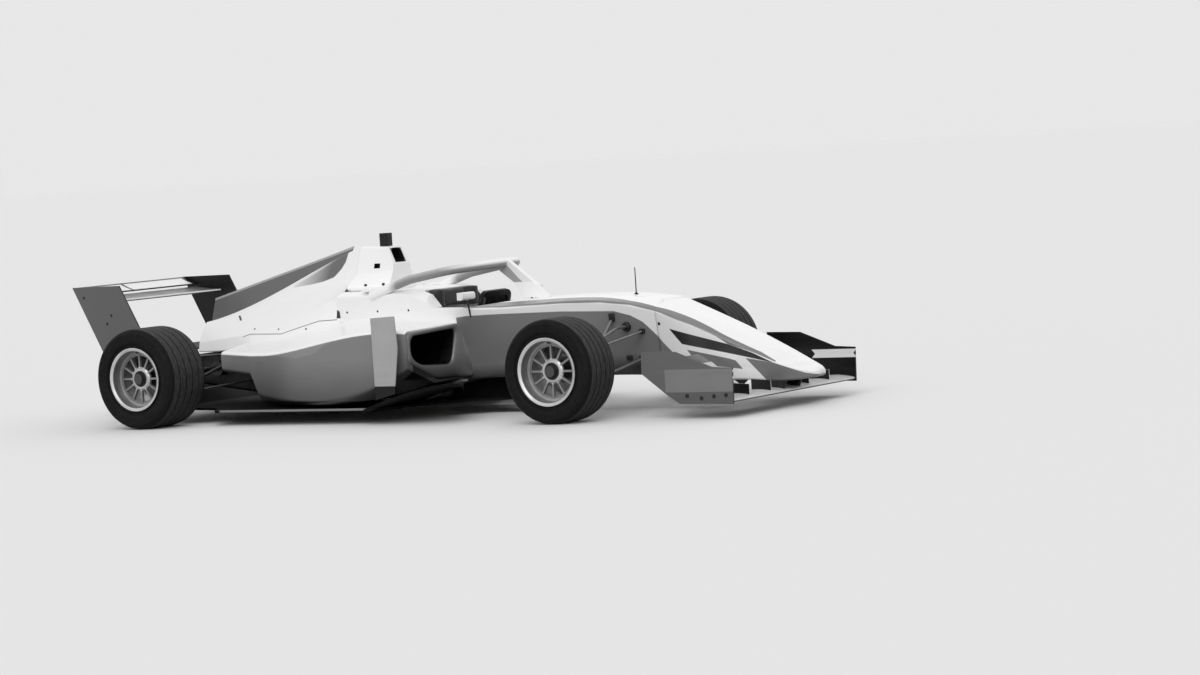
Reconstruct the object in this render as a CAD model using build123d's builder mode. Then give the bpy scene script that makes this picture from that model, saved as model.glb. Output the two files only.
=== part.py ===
from build123d import *
import os
from math import cos, radians, sin

# Open wheel single seater. X points to the nose, Y to the left, Z up, in millimetres.
# The origin lies on the ground under the middle of the car.

os.makedirs("parts", exist_ok=True)

# Overall sizes
WHEELBASE = 2850
FRONT_OVERHANG = 1172
REAR_OVERHANG = 788
FRONT_TRACK = 1500
REAR_TRACK = 1510
NOSE_TIP_X = (FRONT_OVERHANG + WHEELBASE + REAR_OVERHANG) / 2
TAIL_X = -NOSE_TIP_X
FRONT_AXLE_X = NOSE_TIP_X - FRONT_OVERHANG
REAR_AXLE_X = TAIL_X + REAR_OVERHANG
SEAT_GAP = 0.3


def moved(rows, x):
    """Rows whose first value is a station along the car, measured from x."""
    return [(x + row[0], *row[1:]) for row in rows]


# Wheels
FRONT_TYRE_RADIUS = 280
FRONT_TYRE_WIDTH = 270
REAR_TYRE_RADIUS = 290
REAR_TYRE_WIDTH = 316
RIM_RADIUS = 182
BEAD_RADIUS = RIM_RADIUS - 16.5
WELL_RADIUS = RIM_RADIUS - 26
BARREL_THICKNESS = 4.5
RIM_INSET = 7.5
RIM_LIP = 6
SPOKE_COUNT = 12
SPOKE_WIDTH = 11
HUB_RING_RADIUS = 67
HUB_BORE_RADIUS = 45
WHEEL_FACE_DEPTH = 60

# Hubs, discs and uprights: places are measured in from the middle of the tyre
STUB_RADIUS = 30
STUB_INSET = 100
KINGPIN_INSET = 110
UPRIGHT_INSET = 88
UPRIGHT_THICKNESS = 28
DISC_RADIUS = RIM_RADIUS - 57
DISC_INSET = 52
DISC_THICKNESS = 16
CALIPER_RADIUS = RIM_RADIUS - 36
CALIPER_GAP = 6
BEARING_GAP = 0.6
KINGPIN_RADIUS = 8
UPPER_JOINT_RISE = {"front": DISC_RADIUS - 70, "rear": DISC_RADIUS - 30}
LOWER_JOINT_DROP = {"front": DISC_RADIUS - 10, "rear": DISC_RADIUS - 5}

# Steering
STEERING_ARM = DISC_RADIUS - 40
STEERING_ARM_RISE = 76
STEERING_ARM_THICKNESS = 8
TIE_PIN_RADIUS = 5
TIE_EYE_RADIUS = 14
TIE_EYE_BORE = 9.5
TIE_EYE_HEIGHT = 10
TIE_ROD_RADIUS = 7
RACK_X = FRONT_AXLE_X + STEERING_ARM
RACK_Z = 466
RACK_OUTER_Y = 300
RACK_INNER_Y = 150
RACK_RADIUS = 10
RACK_HOLE_GAP = 5
RACK_TRAVEL = 30
WHEEL_CENTRE = (FRONT_AXLE_X - 933, 0, 600)
COLUMN_ANGLE = 15

# Floor
PLANK_BOTTOM = 45
PLANK_THICKNESS = 30
FLOOR_BOTTOM = PLANK_BOTTOM + PLANK_THICKNESS
FLOOR_THICKNESS = 14
FLOOR_TOP = FLOOR_BOTTOM + FLOOR_THICKNESS

# Survival cell and nose
CELL_WALL = 25
SHELL_WALL = 10
CELL_CORNER = 16
CELL_BOTTOM = FLOOR_TOP + SEAT_GAP
CELL_TOP = 712

# Across the car: x, z_bottom, z_chine, z_top, half_bottom, half_chine, half_top
CELL_SECTIONS = moved([
    (-1793, CELL_BOTTOM, 690, CELL_TOP, 240, 300, 270),
    (-1293, CELL_BOTTOM, 690, CELL_TOP, 250, 305, 275),
    (-903, 198, 606, 632, 215, 300, 200),
    (-333, 201, 615, 636, 180, 255, 150),
    (0, 200, 606, 631, 165, 232, 130),
    (267, 188, 550, 603, 150, 205, 110),
], FRONT_AXLE_X)
CELL_REAR_X = CELL_SECTIONS[0][0]
BACK_WALL_X = CELL_SECTIONS[1][0]
FOOT_WALL_X = CELL_SECTIONS[4][0]
NOSE_JOINT_X = CELL_SECTIONS[-1][0]
# The first column is a share of the nose's length
NOSE_SECTIONS = [
    (NOSE_JOINT_X + SEAT_GAP + share * (NOSE_TIP_X - NOSE_JOINT_X - SEAT_GAP), *sizes)
    for share, *sizes in (
        (0, 188, 550, 603, 150, 205, 110),
        (0.387, 158, 405, 462, 130, 165, 85),
        (0.718, 150, 262, 330, 104, 120, 60),
        (0.906, 151, 205, 246, 78, 88, 44),
        (1, 166, 190, 206, 40, 44, 24),
    )
]
# Tower behind the driver: x, z_bottom, half_bottom, z_neck, half_neck, z_top, half_top
AIRBOX_SECTIONS = moved([
    (-1563, CELL_TOP + SEAT_GAP, 140, 820, 84, 955, 60),
    (-1804, CELL_TOP + SEAT_GAP, 262, 800, 118, 962, 60),
], FRONT_AXLE_X)
# Engine cover: share of its length, z_low, half_low, z_shoulder, half_shoulder, z_neck, half_neck, z_top, half_top
COVER_FRONT_X = FRONT_AXLE_X - 1805
COVER_REAR_X = REAR_AXLE_X - 183
COVER_SECTIONS = [
    (COVER_FRONT_X + share * (COVER_REAR_X - COVER_FRONT_X), *sizes)
    for share, *sizes in (
        (0, 535, 305, 700, 280, 800, 118, 961, 60),
        (0.308, 460, 330, 560, 268, 700, 105, 832, 24),
        (0.674, 400, 215, 480, 180, 590, 72, 662, 18),
        (1, 384, 108, 440, 96, 515, 50, 556, 16),
    )
]
# Sidepod: x, y_inner, z_bottom, y_low, z_side, y_outer, z_outer_top, z_inner_top
POD_SECTIONS = moved([
    (-985, 200, 215, 480, 330, 715, 500, 525),
    (-1383, 200, 120, 690, 170, 735, 500, 562),
    (-1883, 200, 104, 640, 130, 660, 420, 562),
], FRONT_AXLE_X) + moved([
    (627, 180, 112, 520, 165, 562, 393, 500),
    (562, 180, 262, 505, 285, 548, 393, 488),
    (277, 150, 282, 410, 300, 452, 402, 450),
], REAR_AXLE_X)

pieces = {}


def keep(name, piece):
    piece.part.label = name
    pieces[name] = piece.part


def across(x):
    return Plane(origin=(x, 0, 0), x_dir=(0, 1, 0), z_dir=(1, 0, 0))


def alongside(y):
    return Plane(origin=(0, y, 0), x_dir=(1, 0, 0), z_dir=(0, -1, 0))


def both_sides(half_points):
    """Closed outline from the points of its right half, bottom to top."""
    return [(-y, z) for y, z in half_points] + [(y, z) for y, z in reversed(half_points)]


def section(x, outline, radius):
    with BuildSketch(across(x)) as face:
        with BuildLine():
            FilletPolyline(*outline, radius=radius, close=True)
        make_face()
    return face.sketch


def outline_face(plane, outline, radius=0):
    with BuildSketch(plane) as face:
        with BuildLine():
            if radius:
                FilletPolyline(*outline, radius=radius, close=True)
            else:
                Polyline(*outline, close=True)
        make_face()
    return face.sketch


def side_plate(y, outline, thickness, radius=0):
    """Plate of a side view outline, thickness centred on y."""
    extrude(outline_face(alongside(y), outline, radius), amount=thickness / 2, both=True)


def cell_section(row, inset=0):
    x, z_bottom, z_chine, z_top, half_bottom, half_chine, half_top = row
    half = [
        (half_bottom - inset, z_bottom + inset),
        (half_chine - inset, z_chine - inset / 2),
        (half_top - inset, z_top - inset),
    ]
    return section(x, both_sides(half), CELL_CORNER)


def bar(start, end, radius):
    run = Vector(*end) - Vector(*start)
    with BuildSketch(Plane(origin=start, z_dir=run)) as face:
        Circle(radius)
    extrude(face.sketch, amount=run.length)


def blade(start, end, chord, thickness):
    """Streamlined arm whose chord lies level."""
    run = Vector(*end) - Vector(*start)
    level = Vector(0, 0, 1).cross(run).normalized()
    with BuildSketch(Plane(origin=start, x_dir=level, z_dir=run)) as face:
        with BuildLine():
            ThreePointArc((-chord / 2, 0), (0, thickness / 2), (chord / 2, 0))
            ThreePointArc((chord / 2, 0), (0, -thickness / 2), (-chord / 2, 0))
        make_face()
    extrude(face.sketch, amount=run.length)


def aerofoil(lead, trail, thickness, camber, y_from, y_to):
    """Wing element from lead to trail, both (x, z), between two stations."""
    front = Vector(*lead)
    rear = Vector(*trail)
    chord = rear - front
    back = chord.normalized()
    up = Vector(-back.Y, back.X) if back.X > 0 else Vector(back.Y, -back.X)
    nose = thickness * 0.35
    edge = 1
    middle = front + chord * 0.4
    start = front + back * nose

    def at(base, lift):
        spot = base + up * lift
        return (spot.X, spot.Y)

    with BuildSketch(alongside(y_to)) as face:
        with BuildLine():
            ThreePointArc(at(start, nose), at(middle, thickness / 2 + camber), at(rear, edge))
            Line(at(rear, edge), at(rear, -edge))
            ThreePointArc(at(rear, -edge), at(middle, -thickness / 2 + camber), at(start, -nose))
            ThreePointArc(at(start, -nose), at(front, 0), at(start, nose))
        make_face()
    extrude(face.sketch, amount=y_to - y_from)


# Survival cell with the cockpit cut in it
RIM_LINE = moved([(-1225, 800), (-1225, CELL_TOP), (-1138, 610), (-903, 604), (-641, 632), (-641, 800)],
                 FRONT_AXLE_X)
OPENING = moved([(-1273, 205), (-1053, 225), (-833, 172), (-738, 90)], FRONT_AXLE_X)
OPENING_CORNER = 40
OPENING_FLOOR = 480
CUT_DEPTH = 400

with BuildPart() as cell_outer:
    loft([cell_section(row) for row in CELL_SECTIONS[:2]])
    loft([cell_section(row) for row in CELL_SECTIONS[1:]])

with BuildPart() as cell_cavity:
    loft([cell_section(row, CELL_WALL) for row in CELL_SECTIONS[1:5]], ruled=True)

with BuildPart() as monocoque:
    add(cell_outer.part)
    side_cut = outline_face(alongside(0), RIM_LINE)
    extrude(side_cut, amount=CUT_DEPTH, both=True, mode=Mode.SUBTRACT)
    add(cell_cavity.part, mode=Mode.SUBTRACT)
    opening = OPENING + [(x, -y) for x, y in reversed(OPENING)]
    top_cut = outline_face(Plane.XY.offset(OPENING_FLOOR), opening, OPENING_CORNER)
    extrude(top_cut, amount=CUT_DEPTH, mode=Mode.SUBTRACT)
    for side in (-1, 1):
        with BuildSketch(alongside(side * (RACK_INNER_Y - RACK_TRAVEL - RACK_HOLE_GAP))) as rack_hole:
            with Locations((RACK_X, RACK_Z)):
                Circle(RACK_RADIUS + RACK_HOLE_GAP)
        extrude(rack_hole.sketch, amount=-side * CUT_DEPTH, mode=Mode.SUBTRACT)
keep("monocoque", monocoque)

# Headrest pad round the back of the cockpit
HEADREST_Z = 600
HEADREST_TOP = CELL_TOP - 8
HEADREST_X = OPENING[0][0] + SEAT_GAP
HEADREST_ARM_X = HEADREST_X + 110
HEADREST_PAD_X = HEADREST_X + 50
HEADREST_HALF = [(HEADREST_X, 160), (HEADREST_ARM_X, 195), (HEADREST_ARM_X, 150), (HEADREST_PAD_X, 120)]
with BuildPart() as headrest:
    pad = HEADREST_HALF + [(x, -y) for x, y in reversed(HEADREST_HALF)]
    extrude(outline_face(Plane.XY.offset(HEADREST_Z), pad), amount=HEADREST_TOP - HEADREST_Z)
    fillet(headrest.edges().filter_by(Axis.Z), 12)
keep("headrest", headrest)

# Reclined seat
SEAT_WIDTH = 330
SEAT_BACK = moved([(SEAT_GAP, 160), (SEAT_GAP, 560), (SEAT_GAP + 30, 560)], BACK_WALL_X)
SEAT_PAN = moved([(-1163, 290), (-1083, 225), (-943, 268), (-943, 250), (-1083, 200), (-1193, 195),
                  (-1233, 160)], FRONT_AXLE_X)
with BuildPart() as seat:
    side_plate(0, SEAT_BACK + SEAT_PAN, SEAT_WIDTH, 6)
keep("seat", seat)

# Steering column and wheel
COLUMN_RADIUS = 12
COLUMN_START = 30
STEER_WIDTH = 280
STEER_HEIGHT = 170
STEER_THICKNESS = 24
BOSS_RADIUS = 30
column_axis = Vector(cos(radians(COLUMN_ANGLE)), 0, -sin(radians(COLUMN_ANGLE)))
column_start = Vector(*WHEEL_CENTRE) + column_axis * COLUMN_START
column_length = (FOOT_WALL_X - WHEEL_CENTRE[0]) / cos(radians(COLUMN_ANGLE))
with BuildPart() as steering_column:
    bar(tuple(column_start), tuple(column_start + column_axis * column_length), COLUMN_RADIUS)
    split(bisect_by=Plane.YZ.offset(FOOT_WALL_X - SEAT_GAP), keep=Keep.BOTTOM)
keep("steering_column", steering_column)

steer_plane = Plane(origin=WHEEL_CENTRE, x_dir=(0, 1, 0), z_dir=column_axis)
with BuildPart() as steering_wheel:
    with BuildSketch(steer_plane):
        RectangleRounded(STEER_WIDTH, STEER_HEIGHT, 45)
        RectangleRounded(STEER_WIDTH - 70, STEER_HEIGHT - 60, 25, mode=Mode.SUBTRACT)
        RectangleRounded(STEER_WIDTH - 120, STEER_HEIGHT - 30, 10)
        Rectangle(STEER_WIDTH - 40, 40)
    extrude(amount=STEER_THICKNESS / 2, both=True)
    with BuildSketch(steer_plane):
        Circle(BOSS_RADIUS)
    extrude(amount=COLUMN_START - SEAT_GAP)
keep("steering_wheel", steering_wheel)

# Halo
HALO_RADIUS = 25
HALO_BEND = 190
HALO_PATH = moved([(-1563, 300, 690), (-1293, 294, 772), (-1018, 285, 816), (-837, 130, 832)], FRONT_AXLE_X)
PILLAR = moved([(-535, 620), (-633, 712), (-808, 846), (-861, 836), (-867, 790), (-775, 723), (-710, 642)],
               FRONT_AXLE_X)
PILLAR_WIDTH = 36
HALO_FOOT = (125, 44, 14)
with BuildPart() as halo:
    with BuildLine() as hoop:
        FilletPolyline(*HALO_PATH, *[(x, -y, z) for x, y, z in reversed(HALO_PATH)], radius=HALO_BEND)
    with BuildSketch(Plane(origin=hoop.line @ 0, z_dir=hoop.line % 0)):
        Circle(HALO_RADIUS)
    sweep()
    side_plate(0, PILLAR, PILLAR_WIDTH, 8)
    for side in (-1, 1):
        with Locations((HALO_PATH[0][0], side * (HALO_PATH[0][1] - 8), CELL_TOP + 1 + HALO_FOOT[2] / 2)):
            Box(*HALO_FOOT)
    add(cell_outer.part, mode=Mode.SUBTRACT)
keep("halo", halo)

# Front wing and the nose with its two pylons
PLATE_THICKNESS = 10
FRONT_PLATE_Y = 651
FRONT_SPAN = FRONT_PLATE_Y - PLATE_THICKNESS - SEAT_GAP
FLAP_INNER_Y = 195
FENCE_STATIONS = (200, 420)
FENCE_THICKNESS = 5
PYLON_Y = 80
PYLON_THICKNESS = 12
# lead, trail, thickness, camber
FRONT_MAIN = (*moved([(-173, 92), (-397, 100)], NOSE_TIP_X), 22, 6)
FRONT_FLAPS = [
    (*moved([(-383, 122), (-525, 200)], NOSE_TIP_X), 14, 6),
    (*moved([(-509, 212), (-655, 305)], NOSE_TIP_X), 12, 6),
]
FENCE = moved([(-205, 100), (-205, 160), (-325, 168), (-325, 100)], NOSE_TIP_X)
PYLON = moved([(-300, 200), (-160, 200), (-195, 99), (-345, 101)], NOSE_TIP_X)
FRONT_PLATE = moved([(-717, 358), (-506, 354), (-288, 271), (-161, 264), (-167, 77), (-493, 81), (-570, 129),
                     (-721, 242)], NOSE_TIP_X)

with BuildPart() as front_main:
    aerofoil(*FRONT_MAIN, -FRONT_SPAN, FRONT_SPAN)

with BuildPart() as front_wing_planes:
    add(front_main.part)
    for flap in FRONT_FLAPS:
        aerofoil(*flap, FLAP_INNER_Y, FRONT_SPAN)
        aerofoil(*flap, -FRONT_SPAN, -FLAP_INNER_Y)
    for y in FENCE_STATIONS:
        for side in (-1, 1):
            side_plate(side * y, FENCE, FENCE_THICKNESS)
keep("front_wing_planes", front_wing_planes)

with BuildPart() as nose_cone:
    loft([cell_section(row) for row in NOSE_SECTIONS])
    for side in (-1, 1):
        side_plate(side * PYLON_Y, PYLON, PYLON_THICKNESS)
    add(front_main.part, mode=Mode.SUBTRACT)
keep("nose_cone", nose_cone)

with BuildPart() as front_wing_endplates:
    for side in (-1, 1):
        side_plate(side * (FRONT_PLATE_Y - PLATE_THICKNESS / 2), FRONT_PLATE, PLATE_THICKNESS)
keep("front_wing_endplates", front_wing_endplates)

# Airbox with its inlet and lifting hole
AIR_INLET = (90, 85)
AIR_INLET_Z = 905
AIR_INLET_DEPTH = 160
INLET_RAKE = moved([(-1553, 830), (-1553, 1000), (-1625, 1000)], FRONT_AXLE_X)
LIFT_HOLE = (40, 28)
LIFT_HOLE_X = FRONT_AXLE_X - 1672
LIFT_HOLE_Z = 849
AIRBOX_CORNER = 20
with BuildPart() as airbox:
    loft([
        section(x, both_sides([(half_bottom, z_bottom), (half_neck, z_neck), (half_top, z_top)]), AIRBOX_CORNER)
        for x, z_bottom, half_bottom, z_neck, half_neck, z_top, half_top in AIRBOX_SECTIONS
    ])
    with BuildSketch(across(AIRBOX_SECTIONS[0][0])):
        with Locations((0, AIR_INLET_Z)):
            RectangleRounded(*AIR_INLET, 25)
    extrude(amount=-AIR_INLET_DEPTH, mode=Mode.SUBTRACT)
    extrude(outline_face(alongside(0), INLET_RAKE), amount=CUT_DEPTH, both=True, mode=Mode.SUBTRACT)
    with BuildSketch(alongside(0)):
        with Locations((LIFT_HOLE_X, LIFT_HOLE_Z)):
            Rectangle(*LIFT_HOLE)
    extrude(amount=CUT_DEPTH, both=True, mode=Mode.SUBTRACT)
keep("airbox", airbox)

# Engine cover, fin and camera housing
COVER_CORNER = 7
COVER_DROP = 60


def cover_section(row, inset, drop):
    x, z_low, half_low, z_shoulder, half_shoulder, z_neck, half_neck, z_top, half_top = row
    half = [
        (half_low - inset, z_low - drop),
        (half_shoulder - inset, z_shoulder - inset / 2),
        (half_neck - inset, z_neck - inset / 2),
        (half_top - inset / 2, z_top - inset),
    ]
    return section(x, both_sides(half), COVER_CORNER)


with BuildPart() as cover_outer:
    loft([cover_section(row, 0, 0) for row in COVER_SECTIONS])
with BuildPart() as cover_inner:
    loft([cover_section(row, SHELL_WALL, COVER_DROP) for row in COVER_SECTIONS], ruled=True)
with BuildPart() as engine_cover:
    add(cover_outer.part)
    add(cover_inner.part, mode=Mode.SUBTRACT)
keep("engine_cover", engine_cover)

FIN_FRONT = moved([(-1933, 900), (-1897, 966)], FRONT_AXLE_X)
FIN_REAR = moved([(769, 918), (-113, 696), (-148, 575), (-148, 500), (417, 650)], REAR_AXLE_X)
FIN_THICKNESS = 8
with BuildPart() as shark_fin:
    side_plate(0, FIN_FRONT + FIN_REAR, FIN_THICKNESS)
    add(cover_outer.part, mode=Mode.SUBTRACT)
keep("shark_fin", shark_fin)

CAMERA_BOX = (58, 54, 74)
CAMERA_X = FRONT_AXLE_X - 1664
CAMERA_Z = 996
with BuildPart() as camera_box:
    with Locations((CAMERA_X, 0, CAMERA_Z)):
        Box(*CAMERA_BOX)
    fillet(camera_box.edges().filter_by(Axis.Z), 8)
    add(airbox.part, mode=Mode.SUBTRACT)
keep("camera_box", camera_box)

# Sidepods: open ducts from the inlet to the engine bay
INLET_LIP = 26
POD_CORNER = 24
INLET_SWEEP = 45
ENGINE_BAY_HALF = 250
ENGINE_BAY_FRONT = FRONT_AXLE_X - 1683


def pod_section(row, side, inset=0):
    x, y_inner, z_bottom, y_low, z_side, y_outer, z_outer_top, z_inner_top = row
    outline = [
        (side * y_inner, z_bottom + inset),
        (side * (y_low - inset / 2), z_bottom + inset),
        (side * (y_outer - inset), z_side + inset / 2),
        (side * (y_outer - inset), z_outer_top - inset),
        (side * y_inner, z_inner_top - inset),
    ]
    return section(x, outline, POD_CORNER)


front_row = POD_SECTIONS[0]
ducts = []
for side, hand in ((-1, "right"), (1, "left")):
    with BuildPart() as pod_duct:
        walls = (INLET_LIP, SHELL_WALL, SHELL_WALL, SHELL_WALL)
        loft([pod_section(row, side, wall) for row, wall in zip(POD_SECTIONS, walls)], ruled=True)
        add(cell_outer.part, mode=Mode.SUBTRACT)
    ducts.append(pod_duct.part)
    with BuildPart() as sidepod:
        loft([pod_section(row, side) for row in POD_SECTIONS[:4]])
        loft([pod_section(row, side) for row in POD_SECTIONS[3:]], ruled=True)
        add(pod_duct.part, mode=Mode.SUBTRACT)
        add(cell_outer.part, mode=Mode.SUBTRACT)
        add(cover_outer.part, mode=Mode.SUBTRACT)
        swept = [(front_row[0] + 1, side * front_row[1]), (front_row[0] + 1, side * (front_row[5] + 20)),
                 (front_row[0] - INLET_SWEEP, side * (front_row[5] + 20))]
        extrude(outline_face(Plane.XY, swept), amount=2 * CUT_DEPTH, mode=Mode.SUBTRACT)
        bay = [(ENGINE_BAY_FRONT, 0), (ENGINE_BAY_FRONT, side * ENGINE_BAY_HALF),
               (REAR_AXLE_X + 267, side * ENGINE_BAY_HALF), (REAR_AXLE_X + 267, 0)]
        extrude(outline_face(Plane.XY, bay), amount=2 * CUT_DEPTH, mode=Mode.SUBTRACT)
    keep("sidepod_" + hand, sidepod)

RADIATOR_X = FRONT_AXLE_X - 1533
RADIATOR_DEPTH = 50
with BuildPart() as both_ducts:
    add(ducts)
with BuildPart() as radiators:
    with BuildSketch(across(RADIATOR_X)):
        Rectangle(2 * REAR_TRACK, 2 * REAR_TRACK)
    extrude(amount=RADIATOR_DEPTH / 2, both=True)
    add(both_ducts.part, mode=Mode.INTERSECT)
keep("radiators", radiators)

# Floor with rolled leading lips, and the plank under it
FLOOR_PLAN = moved([(-553, 110), (-813, 150), (-1083, 320), (-1233, 735)], FRONT_AXLE_X) + moved([
    (437, 735), (317, 560), (-83, 480)], REAR_AXLE_X)
LIP_LINE = moved([(-1290, 82), (-1177, 119), (-1001, 167), (-827, 203), (-691, 218), (-600, 212), (-583, 150)],
                 FRONT_AXLE_X)
LIP_SWEEP = moved([(-575, 810), (-575, 320), (-955, 320), (-590, 810)], FRONT_AXLE_X)
LIP_THICKNESS = 15
LIP_INNER_Y = 330
LIP_OUTER_Y = 800
# Keel from the floor up to the raised underside of the cell
KEEL = moved([(-1183, FLOOR_BOTTOM + 4), (-595, FLOOR_BOTTOM + 4), (-660, 260), (-1183, 260)], FRONT_AXLE_X)
KEEL_WIDTH = 200
with BuildPart() as floor:
    plan = FLOOR_PLAN + [(x, -y) for x, y in reversed(FLOOR_PLAN)]
    extrude(outline_face(Plane.XY.offset(FLOOR_BOTTOM), plan, 40), amount=FLOOR_THICKNESS)
    side_plate(0, KEEL, KEEL_WIDTH)
    add(cell_outer.part, mode=Mode.SUBTRACT)
    for side in (-1, 1):
        with BuildSketch(alongside(side * (LIP_INNER_Y + LIP_OUTER_Y) / 2)) as lip:
            with BuildLine() as centre_line:
                FilletPolyline(*LIP_LINE, radius=30)
            trace(centre_line.line, LIP_THICKNESS)
        extrude(lip.sketch, amount=(LIP_OUTER_Y - LIP_INNER_Y) / 2, both=True)
        sweep_cut = [(x, side * y) for x, y in LIP_SWEEP]
        extrude(outline_face(Plane.XY.offset(FLOOR_TOP), sweep_cut), amount=CUT_DEPTH, mode=Mode.SUBTRACT)
keep("floor", floor)

PLANK_FRONT_X = FRONT_AXLE_X - 583
PLANK_REAR_X = REAR_AXLE_X + 67
PLANK_WIDTH = 280
with BuildPart() as plank:
    with Locations(((PLANK_FRONT_X + PLANK_REAR_X) / 2, 0, PLANK_BOTTOM + PLANK_THICKNESS / 2)):
        Box(PLANK_FRONT_X - PLANK_REAR_X, PLANK_WIDTH, PLANK_THICKNESS)
    fillet(plank.edges().filter_by(Axis.Z), 60)
keep("plank", plank)

DIFFUSER_START = FLOOR_PLAN[-1][0]
DIFFUSER_END = TAIL_X + 345
DIFFUSER_HALF = FLOOR_PLAN[-1][1]
DIFFUSER = [(DIFFUSER_START, FLOOR_BOTTOM), (DIFFUSER_START, FLOOR_TOP), (DIFFUSER_END, 225), (DIFFUSER_END, 213)]
STRAKE = [(DIFFUSER_START, FLOOR_BOTTOM), (DIFFUSER_START - 5, FLOOR_TOP - 4), (DIFFUSER_END, 216),
          (DIFFUSER_END, 95), (DIFFUSER_END + 160, FLOOR_BOTTOM)]
STRAKE_THICKNESS = 8
STRAKE_STATIONS = (80, 240, DIFFUSER_HALF - 6)
with BuildPart() as diffuser:
    side_plate(0, DIFFUSER, 2 * DIFFUSER_HALF)
    for y in STRAKE_STATIONS:
        for side in (-1, 1):
            side_plate(side * y, STRAKE, STRAKE_THICKNESS)
keep("diffuser", diffuser)

# Upright vanes beside the sidepod inlets
VANE_Y = 790
VANE_THICKNESS = 6
VANE = moved([(-1205, 590), (-1043, 597), (-1033, 420), (-1068, 200), (-1068, 172), (-1205, 140)],
             FRONT_AXLE_X)
VANE_BRACKET = (90, 8)
VANE_BRACKET_X = FRONT_AXLE_X - 1123
VANE_BRACKET_Z = 470
VANE_BRACKET_INNER = 700
with BuildPart() as sidepod_vanes:
    for side in (-1, 1):
        side_plate(side * VANE_Y, VANE, VANE_THICKNESS)
        with Locations((VANE_BRACKET_X, side * (VANE_Y + VANE_BRACKET_INNER) / 2, VANE_BRACKET_Z)):
            Box(VANE_BRACKET[0], VANE_Y - VANE_BRACKET_INNER, VANE_BRACKET[1])
    add(pieces["sidepod_right"], mode=Mode.SUBTRACT)
    add(pieces["sidepod_left"], mode=Mode.SUBTRACT)
    add(ducts, mode=Mode.SUBTRACT)
    add(floor.part, mode=Mode.SUBTRACT)
keep("sidepod_vanes", sidepod_vanes)

# Engine, gearbox, exhaust and the structure behind
ENGINE_REAR_X = REAR_AXLE_X + 437
ENGINE_TOP = 540
ENGINE_WIDTH = 400
GEARBOX_REAR_X = REAR_AXLE_X - 233
GEARBOX_HALF = 110
with BuildPart() as engine:
    with Locations(((CELL_REAR_X + ENGINE_REAR_X) / 2, 0, (FLOOR_TOP + ENGINE_TOP) / 2)):
        Box(CELL_REAR_X - ENGINE_REAR_X, ENGINE_WIDTH, ENGINE_TOP - FLOOR_TOP)
    fillet(engine.edges().filter_by(Axis.X), 30)
keep("engine", engine)

GEARBOX = [(ENGINE_REAR_X, 110), (GEARBOX_REAR_X, 200), (GEARBOX_REAR_X, 370), (ENGINE_REAR_X, 400)]
with BuildPart() as gearbox:
    side_plate(0, GEARBOX, 2 * GEARBOX_HALF)
    fillet(gearbox.faces().group_by(Axis.Y)[0].edges(), 20)
    fillet(gearbox.faces().group_by(Axis.Y)[-1].edges(), 20)
keep("gearbox", gearbox)

CRASH_REAR_X = TAIL_X + 190
CRASH_SECTIONS = [(GEARBOX_REAR_X, 80, 225, 360), (CRASH_REAR_X, 42, 275, 345)]
TOW_EYE_THICKNESS = 10
TOW_BORE_RADIUS = 15
TOW_BORE_X = CRASH_REAR_X + 65
TOW_BORE_Z = 240
TOW_EYE = [(TOW_BORE_X - 32, 300), (TOW_BORE_X + 32, 300), (TOW_BORE_X + 26, TOW_BORE_Z - 26),
           (TOW_BORE_X - 26, TOW_BORE_Z - 26)]
with BuildPart() as crash_structure:
    loft([section(x, both_sides([(half, z_bottom), (half, z_top)]), 14) for x, half, z_bottom, z_top
          in CRASH_SECTIONS])
    side_plate(0, TOW_EYE, TOW_EYE_THICKNESS, 12)
    with Locations(Plane(origin=(TOW_BORE_X, 0, TOW_BORE_Z), z_dir=(0, 1, 0))):
        Hole(TOW_BORE_RADIUS)
keep("crash_structure", crash_structure)

RAIN_LIGHT = (18, 70, 50)
with BuildPart() as rain_light:
    with Locations((CRASH_REAR_X - RAIN_LIGHT[0] / 2, 0, 310)):
        Box(*RAIN_LIGHT)
    fillet(rain_light.edges().filter_by(Axis.X), 6)
keep("rain_light", rain_light)

EXHAUST_RADIUS = 36
EXHAUST_WALL = 4
EXHAUST_LINE = moved([(437, 0, 470), (117, 0, 470), (-223, 0, 440)], REAR_AXLE_X)
with BuildPart() as exhaust:
    with BuildLine() as run:
        FilletPolyline(*EXHAUST_LINE, radius=200)
    with BuildSketch(Plane(origin=run.line @ 0, z_dir=run.line % 0)):
        Circle(EXHAUST_RADIUS)
        Circle(EXHAUST_RADIUS - EXHAUST_WALL, mode=Mode.SUBTRACT)
    sweep()
keep("exhaust", exhaust)

# Rear wing between its end plates, with the lower beam on the crash structure
REAR_PLATE_Y = 507
REAR_SPAN = REAR_PLATE_Y - PLATE_THICKNESS - SEAT_GAP
REAR_PLATE = moved([(0, 814), (366, 815), (505, 560), (470, 400), (405, 330), (255, 330), (207, 428)], TAIL_X)
REAR_MAIN = (*moved([(300, 722), (105, 750)], TAIL_X), 20, -8)
REAR_FLAP = (*moved([(115, 765), (7, 812)], TAIL_X), 12, -6)
BEAM = (*moved([(470, 395), (320, 425)], TAIL_X), 14, -5)
SADDLE = moved([(460, 290), (455, 400), (340, 418), (345, 290)], TAIL_X)
SADDLE_Y = 45
SADDLE_THICKNESS = 12
with BuildPart() as rear_wing_planes:
    aerofoil(*REAR_MAIN, -REAR_SPAN, REAR_SPAN)
    aerofoil(*REAR_FLAP, -REAR_SPAN, REAR_SPAN)
keep("rear_wing_planes", rear_wing_planes)

with BuildPart() as rear_wing_endplates:
    for side in (-1, 1):
        side_plate(side * (REAR_PLATE_Y - PLATE_THICKNESS / 2), REAR_PLATE, PLATE_THICKNESS)
keep("rear_wing_endplates", rear_wing_endplates)

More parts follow.
